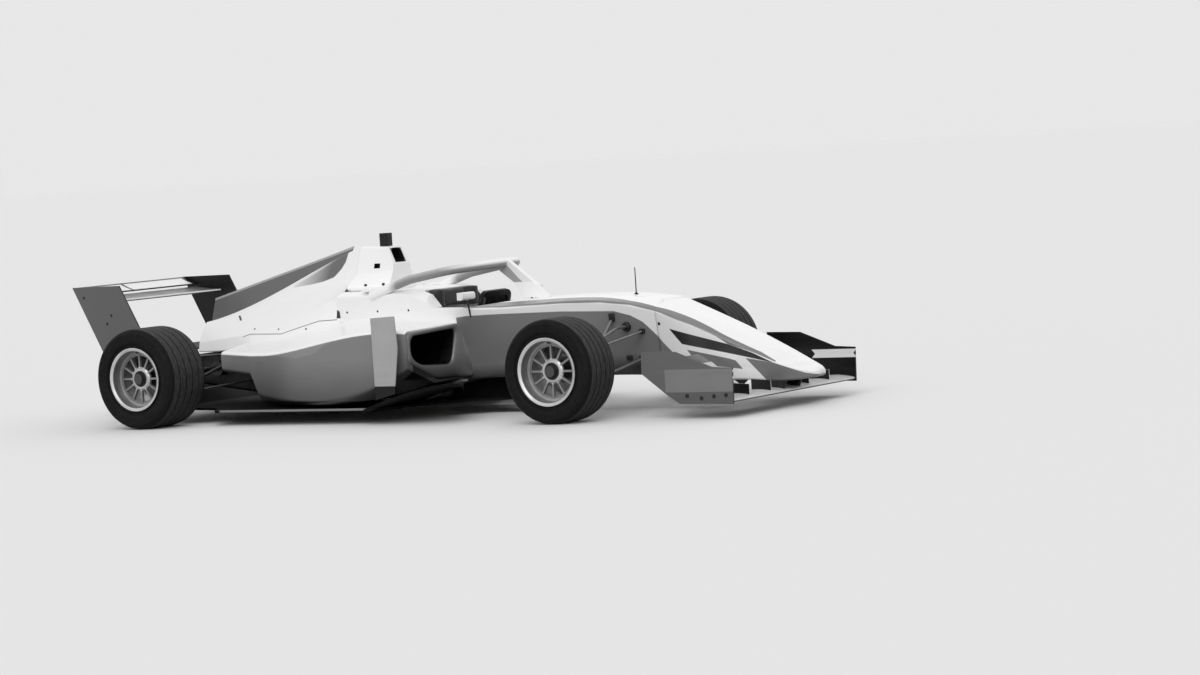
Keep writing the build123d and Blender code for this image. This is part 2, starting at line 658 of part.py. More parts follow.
with BuildPart() as rear_wing_supports:
    for side in (-1, 1):
        side_plate(side * SADDLE_Y, SADDLE, SADDLE_THICKNESS)
    add(crash_structure.part, mode=Mode.SUBTRACT)
    aerofoil(*BEAM, -REAR_SPAN, REAR_SPAN)
keep("rear_wing_supports", rear_wing_supports)

# Mirrors on thin stalks
MIRROR_CENTRE = (FRONT_AXLE_X - 883, 330, 670)
MIRROR_SIZE = (40, 120, 42)
STALK_FOOT = (FRONT_AXLE_X - 893, 285, 550)
STALK_RADIUS = 5
with BuildPart() as mirrors:
    for side in (-1, 1):
        with Locations((MIRROR_CENTRE[0], side * MIRROR_CENTRE[1], MIRROR_CENTRE[2])):
            Box(*MIRROR_SIZE)
    fillet(mirrors.edges().filter_by(Axis.Y).group_by(Axis.X)[-1], 15)
    for side in (-1, 1):
        bar((STALK_FOOT[0], side * STALK_FOOT[1], STALK_FOOT[2]),
            (MIRROR_CENTRE[0], side * MIRROR_CENTRE[1], MIRROR_CENTRE[2]), STALK_RADIUS)
    add(cell_outer.part, mode=Mode.SUBTRACT)
keep("mirrors", mirrors)

# Suspension arms: x offset from the axle, y, z of each inboard end
FRONT_ARMS = {
    "upper": [(178, 215, 437), (-165, 225, 455)],
    "lower": [(165, 175, 292), (-175, 180, 280)],
}
REAR_ARMS = {
    "upper": [(190, 100, 375), (-150, 100, 365)],
    "lower": [(220, 100, 215), (-190, 100, 225)],
}
ARM_CHORD = 30
ARM_THICKNESS = 13
PUSHROD_RADIUS = 9
PUSHROD_INSET = 70
PUSHROD_RISE = 20
PUSHROD_BLOCK = (50, 24, 30)
EYE_RADIUS = 18
EYE_HEIGHT = 24
JOINT_BLOCK = 16
JOINT_PIN = 36


def axle_suspension(axle_x, axle_z, track, end, arms, pushrod_top, block):
    kingpin_y = track / 2 - KINGPIN_INSET
    lower_z = axle_z - LOWER_JOINT_DROP[end]
    with BuildPart() as links:
        for side in (-1, 1):
            for level, joint_z in (("upper", axle_z + UPPER_JOINT_RISE[end]), ("lower", lower_z)):
                joint = (axle_x, side * kingpin_y, joint_z)
                for x_offset, y, z in arms[level]:
                    blade(joint, (axle_x + x_offset, side * y, z), ARM_CHORD, ARM_THICKNESS)
                with Locations(joint):
                    Cylinder(EYE_RADIUS, EYE_HEIGHT)
                    Cylinder(KINGPIN_RADIUS + BEARING_GAP, 3 * EYE_HEIGHT, mode=Mode.SUBTRACT)
            foot = (axle_x, side * (kingpin_y - PUSHROD_INSET), lower_z + PUSHROD_RISE)
            top_x, top_y, top_z = pushrod_top
            bar(foot, (axle_x + top_x, side * top_y, top_z), PUSHROD_RADIUS)
            with Locations(foot):
                Box(*PUSHROD_BLOCK)
        add(block, mode=Mode.SUBTRACT)
    return links


front_suspension = axle_suspension(FRONT_AXLE_X, FRONT_TYRE_RADIUS, FRONT_TRACK, "front", FRONT_ARMS,
                                   (0, 205, 519), cell_outer.part)
keep("front_suspension", front_suspension)
rear_suspension = axle_suspension(REAR_AXLE_X, REAR_TYRE_RADIUS, REAR_TRACK, "rear", REAR_ARMS,
                                  (110, 100, 345), gearbox.part)
keep("rear_suspension", rear_suspension)

SHAFT_RADIUS = 15
SHAFT_BOOT_RADIUS = 45
SHAFT_BOOT_LENGTH = 60
SHAFT_END_GAP = 6
with BuildPart() as driveshafts:
    shaft_start = GEARBOX_HALF + SEAT_GAP
    shaft_end = REAR_TRACK / 2 - STUB_INSET - SHAFT_END_GAP
    for side in (-1, 1):
        bar((REAR_AXLE_X, side * shaft_start, REAR_TYRE_RADIUS),
            (REAR_AXLE_X, side * shaft_end, REAR_TYRE_RADIUS), SHAFT_RADIUS)
        bar((REAR_AXLE_X, side * shaft_start, REAR_TYRE_RADIUS),
            (REAR_AXLE_X, side * (shaft_start + SHAFT_BOOT_LENGTH), REAR_TYRE_RADIUS), SHAFT_BOOT_RADIUS)
keep("driveshafts", driveshafts)


# Wheels and uprights: outlines are (radius, distance out from the middle of the car)
def turned(axle_x, axle_z, side, outline, angle=360, start=0):
    """Solid turned about the wheel axis from a radius and distance outline."""
    spin = Plane(
        origin=(axle_x, 0, axle_z),
        x_dir=(cos(radians(start)), 0, sin(radians(start))),
        z_dir=(sin(radians(start)), 0, -cos(radians(start))),
    )
    flip = 1 if spin.y_dir.Y * side > 0 else -1
    face = outline_face(spin, [(r, flip * a) for r, a in outline])
    revolve(face, axis=Axis((axle_x, 0, axle_z), (0, 1, 0)), revolution_arc=angle)


def wheel(axle_x, tyre_radius, tyre_width, track, side, name):
    middle = track / 2
    half = tyre_width / 2
    rim_half = half - RIM_INSET
    bead = rim_half - RIM_LIP - SEAT_GAP
    tread = [
        (BEAD_RADIUS + SEAT_GAP, bead),
        (RIM_RADIUS + 4, bead),
        (tyre_radius - 45, half),
        (tyre_radius - 10, half - 14),
        (tyre_radius, half - 48),
    ]
    with BuildPart() as tyre:
        outline = [(r, middle + a) for r, a in tread] + [(r, middle - a) for r, a in reversed(tread)]
        turned(axle_x, tyre_radius, side, outline)
    keep("tyre_" + name, tyre)

    face = middle + rim_half
    inner = middle - rim_half
    depth = face - WHEEL_FACE_DEPTH
    dish_radius = BEAD_RADIUS - BARREL_THICKNESS
    barrel_radius = WELL_RADIUS - BARREL_THICKNESS
    spoke_tip = RIM_RADIUS - 49
    seat = depth - 16
    with BuildPart() as rim:
        turned(axle_x, tyre_radius, side, [
            (RIM_RADIUS, face), (RIM_RADIUS, face - RIM_LIP), (BEAD_RADIUS, face - RIM_LIP),
            (BEAD_RADIUS, depth - 6), (WELL_RADIUS, depth - 20), (WELL_RADIUS, inner + 45),
            (BEAD_RADIUS, inner + 30), (BEAD_RADIUS, inner + RIM_LIP), (RIM_RADIUS, inner),
            (dish_radius, inner), (barrel_radius, inner + 46), (barrel_radius, depth - 10),
            (spoke_tip, depth - 8), (spoke_tip, depth), (dish_radius, depth), (dish_radius, face - 8),
            (RIM_RADIUS - 6, face),
        ])
        turned(axle_x, tyre_radius, side, [
            (HUB_BORE_RADIUS, seat + SEAT_GAP), (HUB_BORE_RADIUS, depth + 5),
            (HUB_RING_RADIUS - 9, depth + 5), (HUB_RING_RADIUS, depth - 2), (HUB_RING_RADIUS, seat + SEAT_GAP),
        ])
        spoke_plane = Plane(origin=(axle_x, side * (depth - 4), tyre_radius), x_dir=(1, 0, 0),
                            z_dir=(0, side, 0))
        with BuildSketch(spoke_plane):
            with PolarLocations((HUB_RING_RADIUS + spoke_tip) / 2, SPOKE_COUNT):
                Rectangle(spoke_tip - HUB_RING_RADIUS + 12, SPOKE_WIDTH)
        extrude(amount=8, both=True)
    keep("rim_" + name, rim)

    stub = middle - STUB_INSET
    disc = middle - DISC_INSET
    with BuildPart() as hub:
        turned(axle_x, tyre_radius, side, [
            (0, stub), (STUB_RADIUS, stub), (STUB_RADIUS, disc), (DISC_RADIUS, disc),
            (DISC_RADIUS, disc + DISC_THICKNESS), (50, disc + DISC_THICKNESS), (50, seat - 12),
            (62, seat - 12), (62, seat), (HUB_BORE_RADIUS - 0.5, seat), (HUB_BORE_RADIUS - 0.5, depth + 8),
            (36, depth + 8), (STUB_RADIUS, depth + 26), (0, depth + 26),
        ])
    keep("hub_" + name, hub)


def upright(axle_x, axle_z, track, side, end):
    middle = track / 2
    inner = middle - UPRIGHT_INSET
    outer = inner + UPRIGHT_THICKNESS
    kingpin_y = middle - KINGPIN_INSET
    web = side * (inner + outer) / 2
    upper = axle_z + UPPER_JOINT_RISE[end]
    lower = axle_z - LOWER_JOINT_DROP[end]
    with Locations((axle_x, web, (upper + lower) / 2)):
        Box(68, UPRIGHT_THICKNESS, upper - lower - 2 * JOINT_BLOCK)
    with BuildSketch(alongside(web)) as ring:
        with Locations((axle_x, axle_z)):
            Circle(52)
    extrude(ring.sketch, amount=UPRIGHT_THICKNESS / 2, both=True)
    disc = middle - DISC_INSET
    caliper_inner = disc - CALIPER_GAP
    caliper_outer = disc + DISC_THICKNESS + CALIPER_GAP
    caliper_root = DISC_RADIUS - 40
    bridge = DISC_RADIUS + CALIPER_GAP
    turned(axle_x, axle_z, side, [
        (caliper_root, caliper_inner - 8), (CALIPER_RADIUS, caliper_inner - 8),
        (CALIPER_RADIUS, caliper_outer + 8), (caliper_root, caliper_outer + 8),
        (caliper_root, caliper_outer + 2), (bridge, caliper_outer + 2), (bridge, caliper_inner),
        (caliper_root, caliper_inner),
    ], 70, 145)
    with Locations((axle_x - 70, side * (outer - 9), axle_z)):
        Box(80, 18, 50)
    for joint_z, direction in ((upper, -1), (lower, 1)):
        with Locations((axle_x, side * ((kingpin_y + outer) / 2 - 9), joint_z + direction * EYE_HEIGHT)):
            Box(EYE_RADIUS * 2, outer - kingpin_y + 18, JOINT_BLOCK)
        with Locations((axle_x, side * kingpin_y, joint_z + direction * 4)):
            Cylinder(KINGPIN_RADIUS, JOINT_PIN)
    if end == "front":
        arm_z = axle_z + STEERING_ARM_RISE
        top = arm_z + STEERING_ARM_THICKNESS
        with Locations((axle_x, web, top - 30)):
            Box(68, UPRIGHT_THICKNESS, 60)
        arm = [(axle_x + x, side * y) for x, y in (
            (0, outer), (34, outer), (STEERING_ARM + 12, kingpin_y + 10), (STEERING_ARM + 12, kingpin_y - 10),
            (STEERING_ARM - 10, kingpin_y - 10), (20, inner), (0, inner))]
        extrude(outline_face(Plane.XY.offset(arm_z), arm), amount=STEERING_ARM_THICKNESS)
        with Locations((axle_x + STEERING_ARM, side * kingpin_y, top)):
            Cylinder(TIE_PIN_RADIUS, 16, align=(Align.CENTER, Align.CENTER, Align.MIN))
    with BuildSketch(alongside(web)) as bore:
        with Locations((axle_x, axle_z)):
            Circle(STUB_RADIUS + BEARING_GAP)
    extrude(bore.sketch, amount=UPRIGHT_THICKNESS, both=True, mode=Mode.SUBTRACT)


for side, hand in ((-1, "right"), (1, "left")):
    wheel(FRONT_AXLE_X, FRONT_TYRE_RADIUS, FRONT_TYRE_WIDTH, FRONT_TRACK, side, "front_" + hand)
    wheel(REAR_AXLE_X, REAR_TYRE_RADIUS, REAR_TYRE_WIDTH, REAR_TRACK, side, "rear_" + hand)
    with BuildPart() as knuckle:
        upright(FRONT_AXLE_X, FRONT_TYRE_RADIUS, FRONT_TRACK, side, "front")
    keep("knuckle_" + hand, knuckle)

with BuildPart() as rear_uprights:
    for side in (-1, 1):
        upright(REAR_AXLE_X, REAR_TYRE_RADIUS, REAR_TRACK, side, "rear")
keep("rear_uprights", rear_uprights)

# Track rods carried by the steering rack
TIE_Z = FRONT_TYRE_RADIUS + STEERING_ARM_RISE + STEERING_ARM_THICKNESS + SEAT_GAP + TIE_EYE_HEIGHT / 2
with BuildPart() as track_rods:
    for side in (-1, 1):
        eye = (RACK_X, side * (FRONT_TRACK / 2 - KINGPIN_INSET), TIE_Z)
        bar(eye, (RACK_X, side * RACK_OUTER_Y, RACK_Z), TIE_ROD_RADIUS)
        bar((RACK_X, side * (RACK_OUTER_Y + 8), RACK_Z), (RACK_X, side * RACK_INNER_Y, RACK_Z), RACK_RADIUS)
        with Locations(eye):
            Cylinder(TIE_EYE_RADIUS, TIE_EYE_HEIGHT)
            Cylinder(TIE_EYE_BORE, 3 * TIE_EYE_HEIGHT, mode=Mode.SUBTRACT)
keep("track_rods", track_rods)

for name, piece in pieces.items():
    export_step(piece, "parts/" + name + ".step")
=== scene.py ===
"""Looks and small parts of the open wheel racing car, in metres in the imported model's frame."""

import math

import bmesh
import bpy
from mathutils import Matrix, Vector
from mathutils.bvhtree import BVHTree


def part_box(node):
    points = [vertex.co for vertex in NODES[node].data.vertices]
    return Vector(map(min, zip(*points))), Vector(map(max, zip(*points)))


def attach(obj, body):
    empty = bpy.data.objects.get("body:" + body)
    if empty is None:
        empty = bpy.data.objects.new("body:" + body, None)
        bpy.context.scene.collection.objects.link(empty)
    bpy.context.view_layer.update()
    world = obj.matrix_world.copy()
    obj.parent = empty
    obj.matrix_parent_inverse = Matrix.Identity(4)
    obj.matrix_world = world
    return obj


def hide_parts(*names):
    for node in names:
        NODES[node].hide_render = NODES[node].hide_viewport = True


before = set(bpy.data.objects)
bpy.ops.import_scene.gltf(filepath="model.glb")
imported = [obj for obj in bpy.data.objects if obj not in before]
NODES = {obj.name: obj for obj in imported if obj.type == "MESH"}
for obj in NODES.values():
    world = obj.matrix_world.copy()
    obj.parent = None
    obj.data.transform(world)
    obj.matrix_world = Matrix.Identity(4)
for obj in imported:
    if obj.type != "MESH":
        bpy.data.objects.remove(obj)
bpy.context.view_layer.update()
SIDES = {"right": -1, "left": 1}
WHEELS = [f"{end}_{side}" for end in ("front", "rear") for side in SIDES]


# Material graphs
# Half the width over which a painted edge fades
EDGE = 0.0015


def grey(level):
    """Linear colour of a display grey from 0 to 255."""
    share = level / 255
    linear = share / 12.92 if share <= 0.04045 else ((share + 0.055) / 1.055) ** 2.4
    return (linear, linear, linear, 1.0)


class Graph:
    """A material's nodes, with a short call for each step that the finishes share."""

    def __init__(self, name, roughness=0.5, metallic=0.0, shine=0.5):
        self.material = bpy.data.materials.new(name)
        self.material.use_nodes = True
        self.tree = self.material.node_tree
        self.shader = self.tree.nodes["Principled BSDF"]
        self.constants({"Roughness": roughness, "Metallic": metallic, "Specular IOR Level": shine})
        place = self.node("TexCoord")
        self.where = place.outputs["Object"]
        self.x, self.y, self.z = self.node("SeparateXYZ", {0: self.where}).outputs
        self.side = self.math("ABSOLUTE", self.y)
        self.nx, self.ny, self.nz = self.node("SeparateXYZ", {0: place.outputs["Normal"]}).outputs

    def constants(self, values):
        for socket, value in values.items():
            self.shader.inputs[socket].default_value = value

    def node(self, kind, values=None, **settings):
        made = self.tree.nodes.new("ShaderNode" + kind)
        for key, value in settings.items():
            setattr(made, key, value)
        for socket, value in (values or {}).items():
            self.put(made.inputs[socket], value)
        return made

    def put(self, socket, value):
        if isinstance(value, bpy.types.NodeSocket):
            self.tree.links.new(value, socket)
        else:
            socket.default_value = value

    def math(self, operation, first, second=0.0):
        return self.node("Math", {0: first, 1: second}, operation=operation).outputs[0]

    def ramp(self, value, low, high, to_low=0.0, to_high=1.0):
        names = ("Value", "From Min", "From Max", "To Min", "To Max")
        return self.node("MapRange", dict(zip(names, (value, low, high, to_low, to_high)))).outputs[0]

    def follow(self, value, line):
        """Height of a broken line, given as (in, out) points, at a value."""
        ins = [point[0] for point in line]
        outs = [point[1] for point in line]
        low, high = min(outs), max(max(outs), min(outs) + 1e-4)
        share = self.ramp(value, min(ins), max(ins))
        curve = self.node("FloatCurve", {"Value": share})
        points = curve.mapping.curves[0].points
        for index, (at, height) in enumerate(sorted(line)):
            place = ((at - min(ins)) / (max(ins) - min(ins)), (height - low) / (high - low))
            point = points[index] if index < 2 else points.new(*place)
            if index < 2:
                point.location = place
            point.handle_type = "VECTOR"
        curve.mapping.update()
        return self.ramp(curve.outputs[0], 0, 1, low, high)

    def over(self, value, limit, soft=EDGE):
        """1 where value is above limit, 0 below, with a soft edge."""
        return self.ramp(self.math("SUBTRACT", value, limit), -soft, soft)

    def under(self, value, limit, soft=EDGE):
        return self.math("SUBTRACT", 1.0, self.over(value, limit, soft))

    def above(self, line, soft=EDGE):
        """Mask of what lies above a broken line of (x, z) on the car's side."""
        return self.over(self.z, self.follow(self.x, line), soft)

    def below(self, line):
        return self.under(self.z, self.follow(self.x, line))

    def joined(self, operation, masks):
        result, *others = (self.mask(mask) for mask in masks)
        for mask in others:
            result = self.math(operation, result, mask)
        return result

    def both(self, *masks):
        return self.joined("MULTIPLY", masks)

    def either(self, *masks):
        return self.joined("MAXIMUM", masks)

    def mask(self, value):
        """A mask as it is, or the mask of a space that is given by its limits."""
        return self.within(**value) if isinstance(value, dict) else value

    def within(self, **limits):
        """Mask of a space; None leaves an axis open, and side is the distance from the middle."""
        axes = {"x": self.x, "y": self.y, "z": self.z, "side": self.side}
        masks = []
        for axis, (low, high) in limits.items():
            if low is not None:
                masks.append(self.over(axes[axis], low))
            if high is not None:
                masks.append(self.under(axes[axis], high))
        return self.both(*masks)

    def region(self, lower, upper):
        """Mask between two broken lines (x, z) on the car's side."""
        ends = [point[0] for point in lower + upper]
        return self.both(self.above(lower), self.below(upper), self.within(x=(min(ends), max(ends))))

    def along(self, normal, soft=0.05):
        """Mask of faces that look along an axis, either way."""
        return self.over(self.math("ABSOLUTE", normal), 0.7, soft)

    def seam(self, value, target, width=0.003):
        """Thin line where value meets target."""
        gap = self.math("ABSOLUTE", self.math("SUBTRACT", value, target))
        return self.ramp(gap, width * 0.5, width * 0.5 + 0.001, 1.0, 0.0)

    def radius(self, centre):
        """Distance from a wheel's axis, which runs along y."""
        dx = self.math("SUBTRACT", self.x, centre.x)
        dz = self.math("SUBTRACT", self.z, centre.z)
        squares = [self.math("MULTIPLY", value, value) for value in (dx, dz)]
        return self.math("SQRT", self.math("ADD", *squares))

    def wave(self, value, turns):
        return self.math("SINE", self.math("MULTIPLY", value, turns))

    def mix(self, mask, below, above):
        return self.node("Mix", {0: self.mask(mask), 6: below, 7: above}, data_type="RGBA").outputs[2]

    def layers(self, colour, *coats):
        """Colour under coats of (mask, colour), laid on in order."""
        for mask, coat in coats:
            colour = self.mix(mask, colour, coat)
        return colour

    def noise(self, scale, detail=3.0, stretch=None):
        where = self.where
        if stretch:
            where = self.node("Mapping", {"Vector": where, "Scale": stretch}).outputs[0]
        return self.node("TexNoise", {"Vector": where, "Scale": scale, "Detail": detail}).outputs[0]

    def patches(self, scale, low, high, amount=1.0, detail=4):
        """Soft blotches of a size, from 0 to an amount."""
        return self.ramp(self.noise(scale, detail), low, high, 0.0, amount)

    def bump(self, height, strength, distance=0.001):
        made = self.node("Bump", {"Height": height, "Strength": strength, "Distance": distance})
        if self.shader.inputs["Normal"].links:
            self.put(made.inputs["Normal"], self.shader.inputs["Normal"].links[0].from_socket)
        self.put(self.shader.inputs["Normal"], made.outputs[0])

    def roughen(self, source, low, high):
        self.put(self.shader.inputs["Roughness"], self.ramp(source, 0.3, 0.7, low, high))

    def colour(self, value):
        self.put(self.shader.inputs["Base Color"], value)
        return self.material

    def shaded(self, mask, level, share):
        """The material in a grey that falls to a share of its level under a mask."""
        return self.colour(self.mix(mask, grey(level), grey(level * share)))


def lacquered(name, coat=0.4, coat_roughness=0.2, shine=0.5):
    """Graph of a clear coat over a faint orange peel."""
    graph = Graph(name, shine=shine)
    graph.constants({"Coat Weight": coat, "Coat Roughness": coat_roughness})
    graph.roughen(graph.noise(9, 4), 0.3, 0.42)
    graph.bump(graph.noise(420, 2), 0.06, 0.0004)
    return graph


def grimed(graph, colour, amount=0.12):
    """The material under road film, thicker low down, in streaks along the car."""
    streaks = graph.noise(6, 5, (1.0, 3.0, 6.0))
    low = graph.ramp(graph.z, 0.05, 0.45, 1.0, 0.15)
    film = graph.both(graph.ramp(streaks, 0.42, 0.75, 0.0, amount), low)
    return graph.colour(graph.mix(film, colour, grey(60)))


WHITE, SIDE_GREY, STRIPE, DARK, BLACK = (grey(level) for level in (243, 118, 120, 42, 12))


# Livery of the body
# Broken lines are (x, z) on the car's side, and spaces are limits along the axes
WHITE_EDGE = [(0.25, 0.550), (0.31, 0.557), (0.53, 0.561), (0.92, 0.562), (1.25, 0.553), (1.35, 0.526),
              (1.42, 0.489), (1.475, 0.435), (1.536, 0.371), (1.594, 0.316), (1.66, 0.275), (1.80, 0.10)]
# The stripe's upper edge is (x, distance from the middle), on the top face
STRIPE_INNER = [(0.30, 0.262), (0.50, 0.208), (0.68, 0.184), (0.83, 0.176), (1.13, 0.170), (1.335, 0.182),
                (1.525, 0.176), (1.70, 0.152), (1.877, 0.136), (2.0, 0.119), (2.10, 0.108), (2.19, 0.110)]
STRIPE_LOW = [(0.30, 0.602), (0.54, 0.597), (0.92, 0.606), (1.17, 0.603), (1.356, 0.583), (1.544, 0.534),
              (1.723, 0.462), (1.853, 0.398), (1.918, 0.352), (2.003, 0.323), (2.06, 0.302), (2.19, 0.246)]
STRIPE_ENDS = {"x": (0.30, 2.185)}
ARROW_TOP = [(1.59, 0.447), (1.918, 0.352), (2.055, 0.301), (2.165, 0.249)]
ARROW_LOW = [(1.59, 0.443), (1.654, 0.362), (2.165, 0.247)]
PATCH_TOP = [(1.68, 0.330), (1.915, 0.274), (1.949, 0.263), (1.984, 0.219)]
PATCH_LOW = [(1.68, 0.327), (1.721, 0.270), (1.796, 0.239), (1.984, 0.216)]
# The rear edge of the nose's grey is (z, x)
NOSE_GREY_REAR = [(0.160, 2.113), (0.274, 2.010)]
NOSE_GREY_TOP = [(2.00, 0.276), (2.167, 0.247), (2.264, 0.214), (2.34, 0.186), (2.41, 0.172)]
NOSE_GREY_START = 1.95
SIDE_ENDS = {"x": (0.243, 1.70)}
SHADE_RISE = [(0.34, 0.0), (0.44, 0.012), (1.45, 0.045)]
SHADE_LOW, SHADE_HIGH = 0.205, 0.275
PYLONS = {"x": (1.75, None), "z": (None, 0.147)}
# The cell's side inside the pods' ducts, painted black as the shade seen through the inlets
CELL_DUCT_SHADE = {"x": (-0.56, 0.243), "z": (0.20, 0.52), "side": (0.17, None)}
HATCH_ENDS = (1.02, 1.36)
HATCH_HALF = 0.12


def body_paint(name):
    """White body with the cell's and nose's stripes, grey sides that darken low down as painted shade, and
    arrow.
    """
    graph = lacquered(name)
    # Painted shade: the grey side darkens to DARK towards its foot, under a line that rises forward
    height = graph.math("SUBTRACT", graph.z, graph.follow(graph.x, SHADE_RISE))
    flank = graph.mix(graph.ramp(height, SHADE_LOW, SHADE_HIGH), DARK, SIDE_GREY)
    nose_grey = graph.both(graph.over(graph.x, graph.follow(graph.z, NOSE_GREY_REAR)),
                           graph.below(NOSE_GREY_TOP), graph.over(graph.x, NOSE_GREY_START))
    stripe = graph.both(graph.above(STRIPE_LOW), STRIPE_ENDS,
                        graph.over(graph.side, graph.follow(graph.x, STRIPE_INNER)))
    hatch = graph.both(graph.either(*[graph.seam(graph.x, x, 0.002) for x in HATCH_ENDS]),
                       graph.over(graph.nz, 0.5, 0.1), graph.under(graph.side, HATCH_HALF))
    graph.bump(hatch, 0.4, -0.001)
    return grimed(graph, graph.layers(
        WHITE,
        (graph.both(SIDE_ENDS, graph.below(WHITE_EDGE)), flank),
        (nose_grey, SIDE_GREY),
        (stripe, STRIPE),
        (graph.region(ARROW_LOW, ARROW_TOP), DARK),
        (graph.region(PATCH_LOW, PATCH_TOP), grey(115)),
        (PYLONS, BLACK),
        # Painted shade on the cell's side inside the ducts
        (CELL_DUCT_SHADE, BLACK),
        (hatch, grey(150)),
    ))


POD_EDGE = [(-1.36, 0.395), (-0.96, 0.396), (-0.765, 0.405), (-0.59, 0.427), (-0.44, 0.461), (-0.36, 0.500),
            (-0.09, 0.514), (0.26, 0.500)]
# Lower edge of a paler band under the deck's edge, a painted highlight
POD_HIGHLIGHT_LOW = [(-1.36, 0.392), (-0.96, 0.392), (-0.60, 0.372), (-0.45, 0.400), (-0.36, 0.450), (-0.09, 0.500),
             (0.26, 0.499)]
# Space inside the pod's duct, painted black as shade
POD_DUCT_SHADE = {"side": (None, 0.675), "z": (0.235, 0.478), "x": (-0.40, 0.232)}
POD_DECK_LOW, POD_FRONT_TOP, POD_FOOT_TOP = 0.37, 0.492, 0.128


def pod_paint(name):
    """White deck over a grey flank that darkens downward as painted shade, a paler band under the deck's edge
    as a painted highlight, a front in painted shade, a black foot, and painted shade in the duct.
    """
    graph = lacquered(name)
    # Painted shade: the flank and the front darken downward
    flank = graph.mix(graph.ramp(graph.z, 0.14, 0.36), grey(70), grey(126))
    shade = graph.mix(graph.ramp(graph.z, 0.24, 0.42), grey(46), grey(132))
    front = graph.both(graph.ramp(graph.x, 0.10, 0.20), graph.under(graph.z, POD_FRONT_TOP))
    deck = graph.both(graph.over(graph.nz, 0.35, 0.05), graph.over(graph.z, POD_DECK_LOW))
    return grimed(graph, graph.layers(
        flank,
        # Painted highlight along the shoulder
        (graph.above(POD_HIGHLIGHT_LOW), grey(140)),
        (graph.either(graph.above(POD_EDGE, 0.009), deck), WHITE),
        (front, shade),
        (graph.under(graph.z, POD_FOOT_TOP), BLACK),
        # Painted shade in the duct
        (graph.both(POD_DUCT_SHADE, graph.math("SUBTRACT", 1.0, deck)), BLACK),
    ), 0.2)


BAND_EDGE = [(-1.10, 0.742), (-0.945, 0.757), (-0.84, 0.772), (-0.754, 0.795), (-0.705, 0.840),
             (-0.68, 0.880), (-0.667, 0.960)]
TAIL_SEAM = [(-1.386, 0.471), (-1.323, 0.487), (-1.01, 0.489), (-0.712, 0.557), (-0.587, 0.561)]
VENT_SLOT = {"x": (-0.590, None), "z": (0.568, 0.615)}
LEAF_VENT = {"z": (0.562, 0.590)}


def cover_paint(name):
    """White cover with a shaded band along the fin, a panel seam and two small vents."""
    graph = lacquered(name)
    band = graph.both(graph.above(BAND_EDGE, 0.003), graph.within(x=(-1.10, -0.668)),
                      graph.ramp(graph.x, -1.10, -0.80, 0.25, 1.0), graph.ramp(graph.side, 0.024, 0.040))
    seam = graph.both(graph.seam(graph.z, graph.follow(graph.x, TAIL_SEAM)), graph.within(x=(-1.386, -0.587)))
    graph.bump(seam, 0.5, -0.002)
    slant = graph.math("SUBTRACT", graph.x, graph.ramp(graph.z, 0.560, 0.592, -1.486, -1.524))
    leaf = graph.both(graph.over(slant, -0.010), graph.under(slant, 0.010), LEAF_VENT)
    return grimed(graph, graph.layers(
        WHITE, (band, grey(88)), (seam, grey(70)), (graph.either(leaf, VENT_SLOT), BLACK)))


# Inside the throat and on the lifting hole's walls, black is painted shade
SHADED_THROAT = {"side": (None, 0.050), "z": (0.864, 0.946), "x": (-0.56, -0.325)}
LIFTING_HOLE = {"x": (-0.4605, -0.4175), "z": (0.8345, 0.8635)}


def airbox_paint(name):
    """White tower with painted shade in black in its throat and its lifting hole."""
    graph = lacquered(name)
    hole = graph.both(LIFTING_HOLE, graph.either(graph.along(graph.nz), graph.along(graph.nx)))
    return graph.colour(graph.mix(graph.either(SHADED_THROAT, hole), WHITE, BLACK))


FIN_EDGE = [(-1.73, 0.684), (-0.848, 0.906), (-0.66, 0.954)]


def fin_paint(name):
    """Grey fin with a paler upper edge."""
    graph = lacquered(name)
    return graph.colour(graph.mix(graph.above(FIN_EDGE), grey(102), grey(170)))


def plain_paint(name, level, coat=0.4):
    return grimed(lacquered(name, coat), grey(level), 0.15)


PLATE_PANEL = {"x": (1.828, 2.245), "z": (0.142, 0.261)}
PLATE_STRIP = ((1.970, 2.252), (0.208, 0.254))
STRIP_POINT = 0.020
FLAP_TIPS = {"z": (0.264, None), "x": (None, 1.86)}
FLAP_PANELS = ((-0.470, -0.345), (-0.325, -0.105), (-0.080, 0.455))
REAR_FLAP = {"z": (0.772, 0.806)}
# Main plane, whose top gets a painted sky reflection in grey
REAR_MAIN = {"z": (None, 0.765)}
REAR_LEADING_EDGE = -2.118


def plate_paint(name, outside, strip=None):
    """End plate: paint outside, black inside, where a bare pale strip with notched ends may lie."""
    graph = lacquered(name, 0.12, shine=0.22)
    away = graph.math("MULTIPLY", graph.ny, graph.math("SIGN", graph.y))
    inside = grey(9)
    if strip:
        (x0, x1), (z0, z1) = strip
        middle = graph.math("ABSOLUTE", graph.math("SUBTRACT", graph.z, (z0 + z1) / 2))
        notch = graph.math("MULTIPLY", middle, 0.9)
        ends = graph.both(graph.over(graph.x, graph.math("SUBTRACT", x0 + STRIP_POINT, notch)),
                          graph.under(graph.x, graph.math("ADD", x1 - STRIP_POINT, notch)))
        inside = graph.mix(graph.both(ends, graph.within(z=(z0, z1))), inside, grey(222))
    return grimed(graph, graph.mix(graph.over(away, 0.3, 0.1), inside, outside(graph)), 0.2)


def front_plate_outer(graph):
    """Flat grey with a paler panel over a darker foot."""
    foot = graph.under(graph.z, PLATE_PANEL["z"][0])
    return graph.layers(grey(102), (foot, grey(94)), (PLATE_PANEL, grey(128)))


def rear_plate_outer(graph):
    return graph.mix(graph.noise(4, 3), grey(97), grey(101))


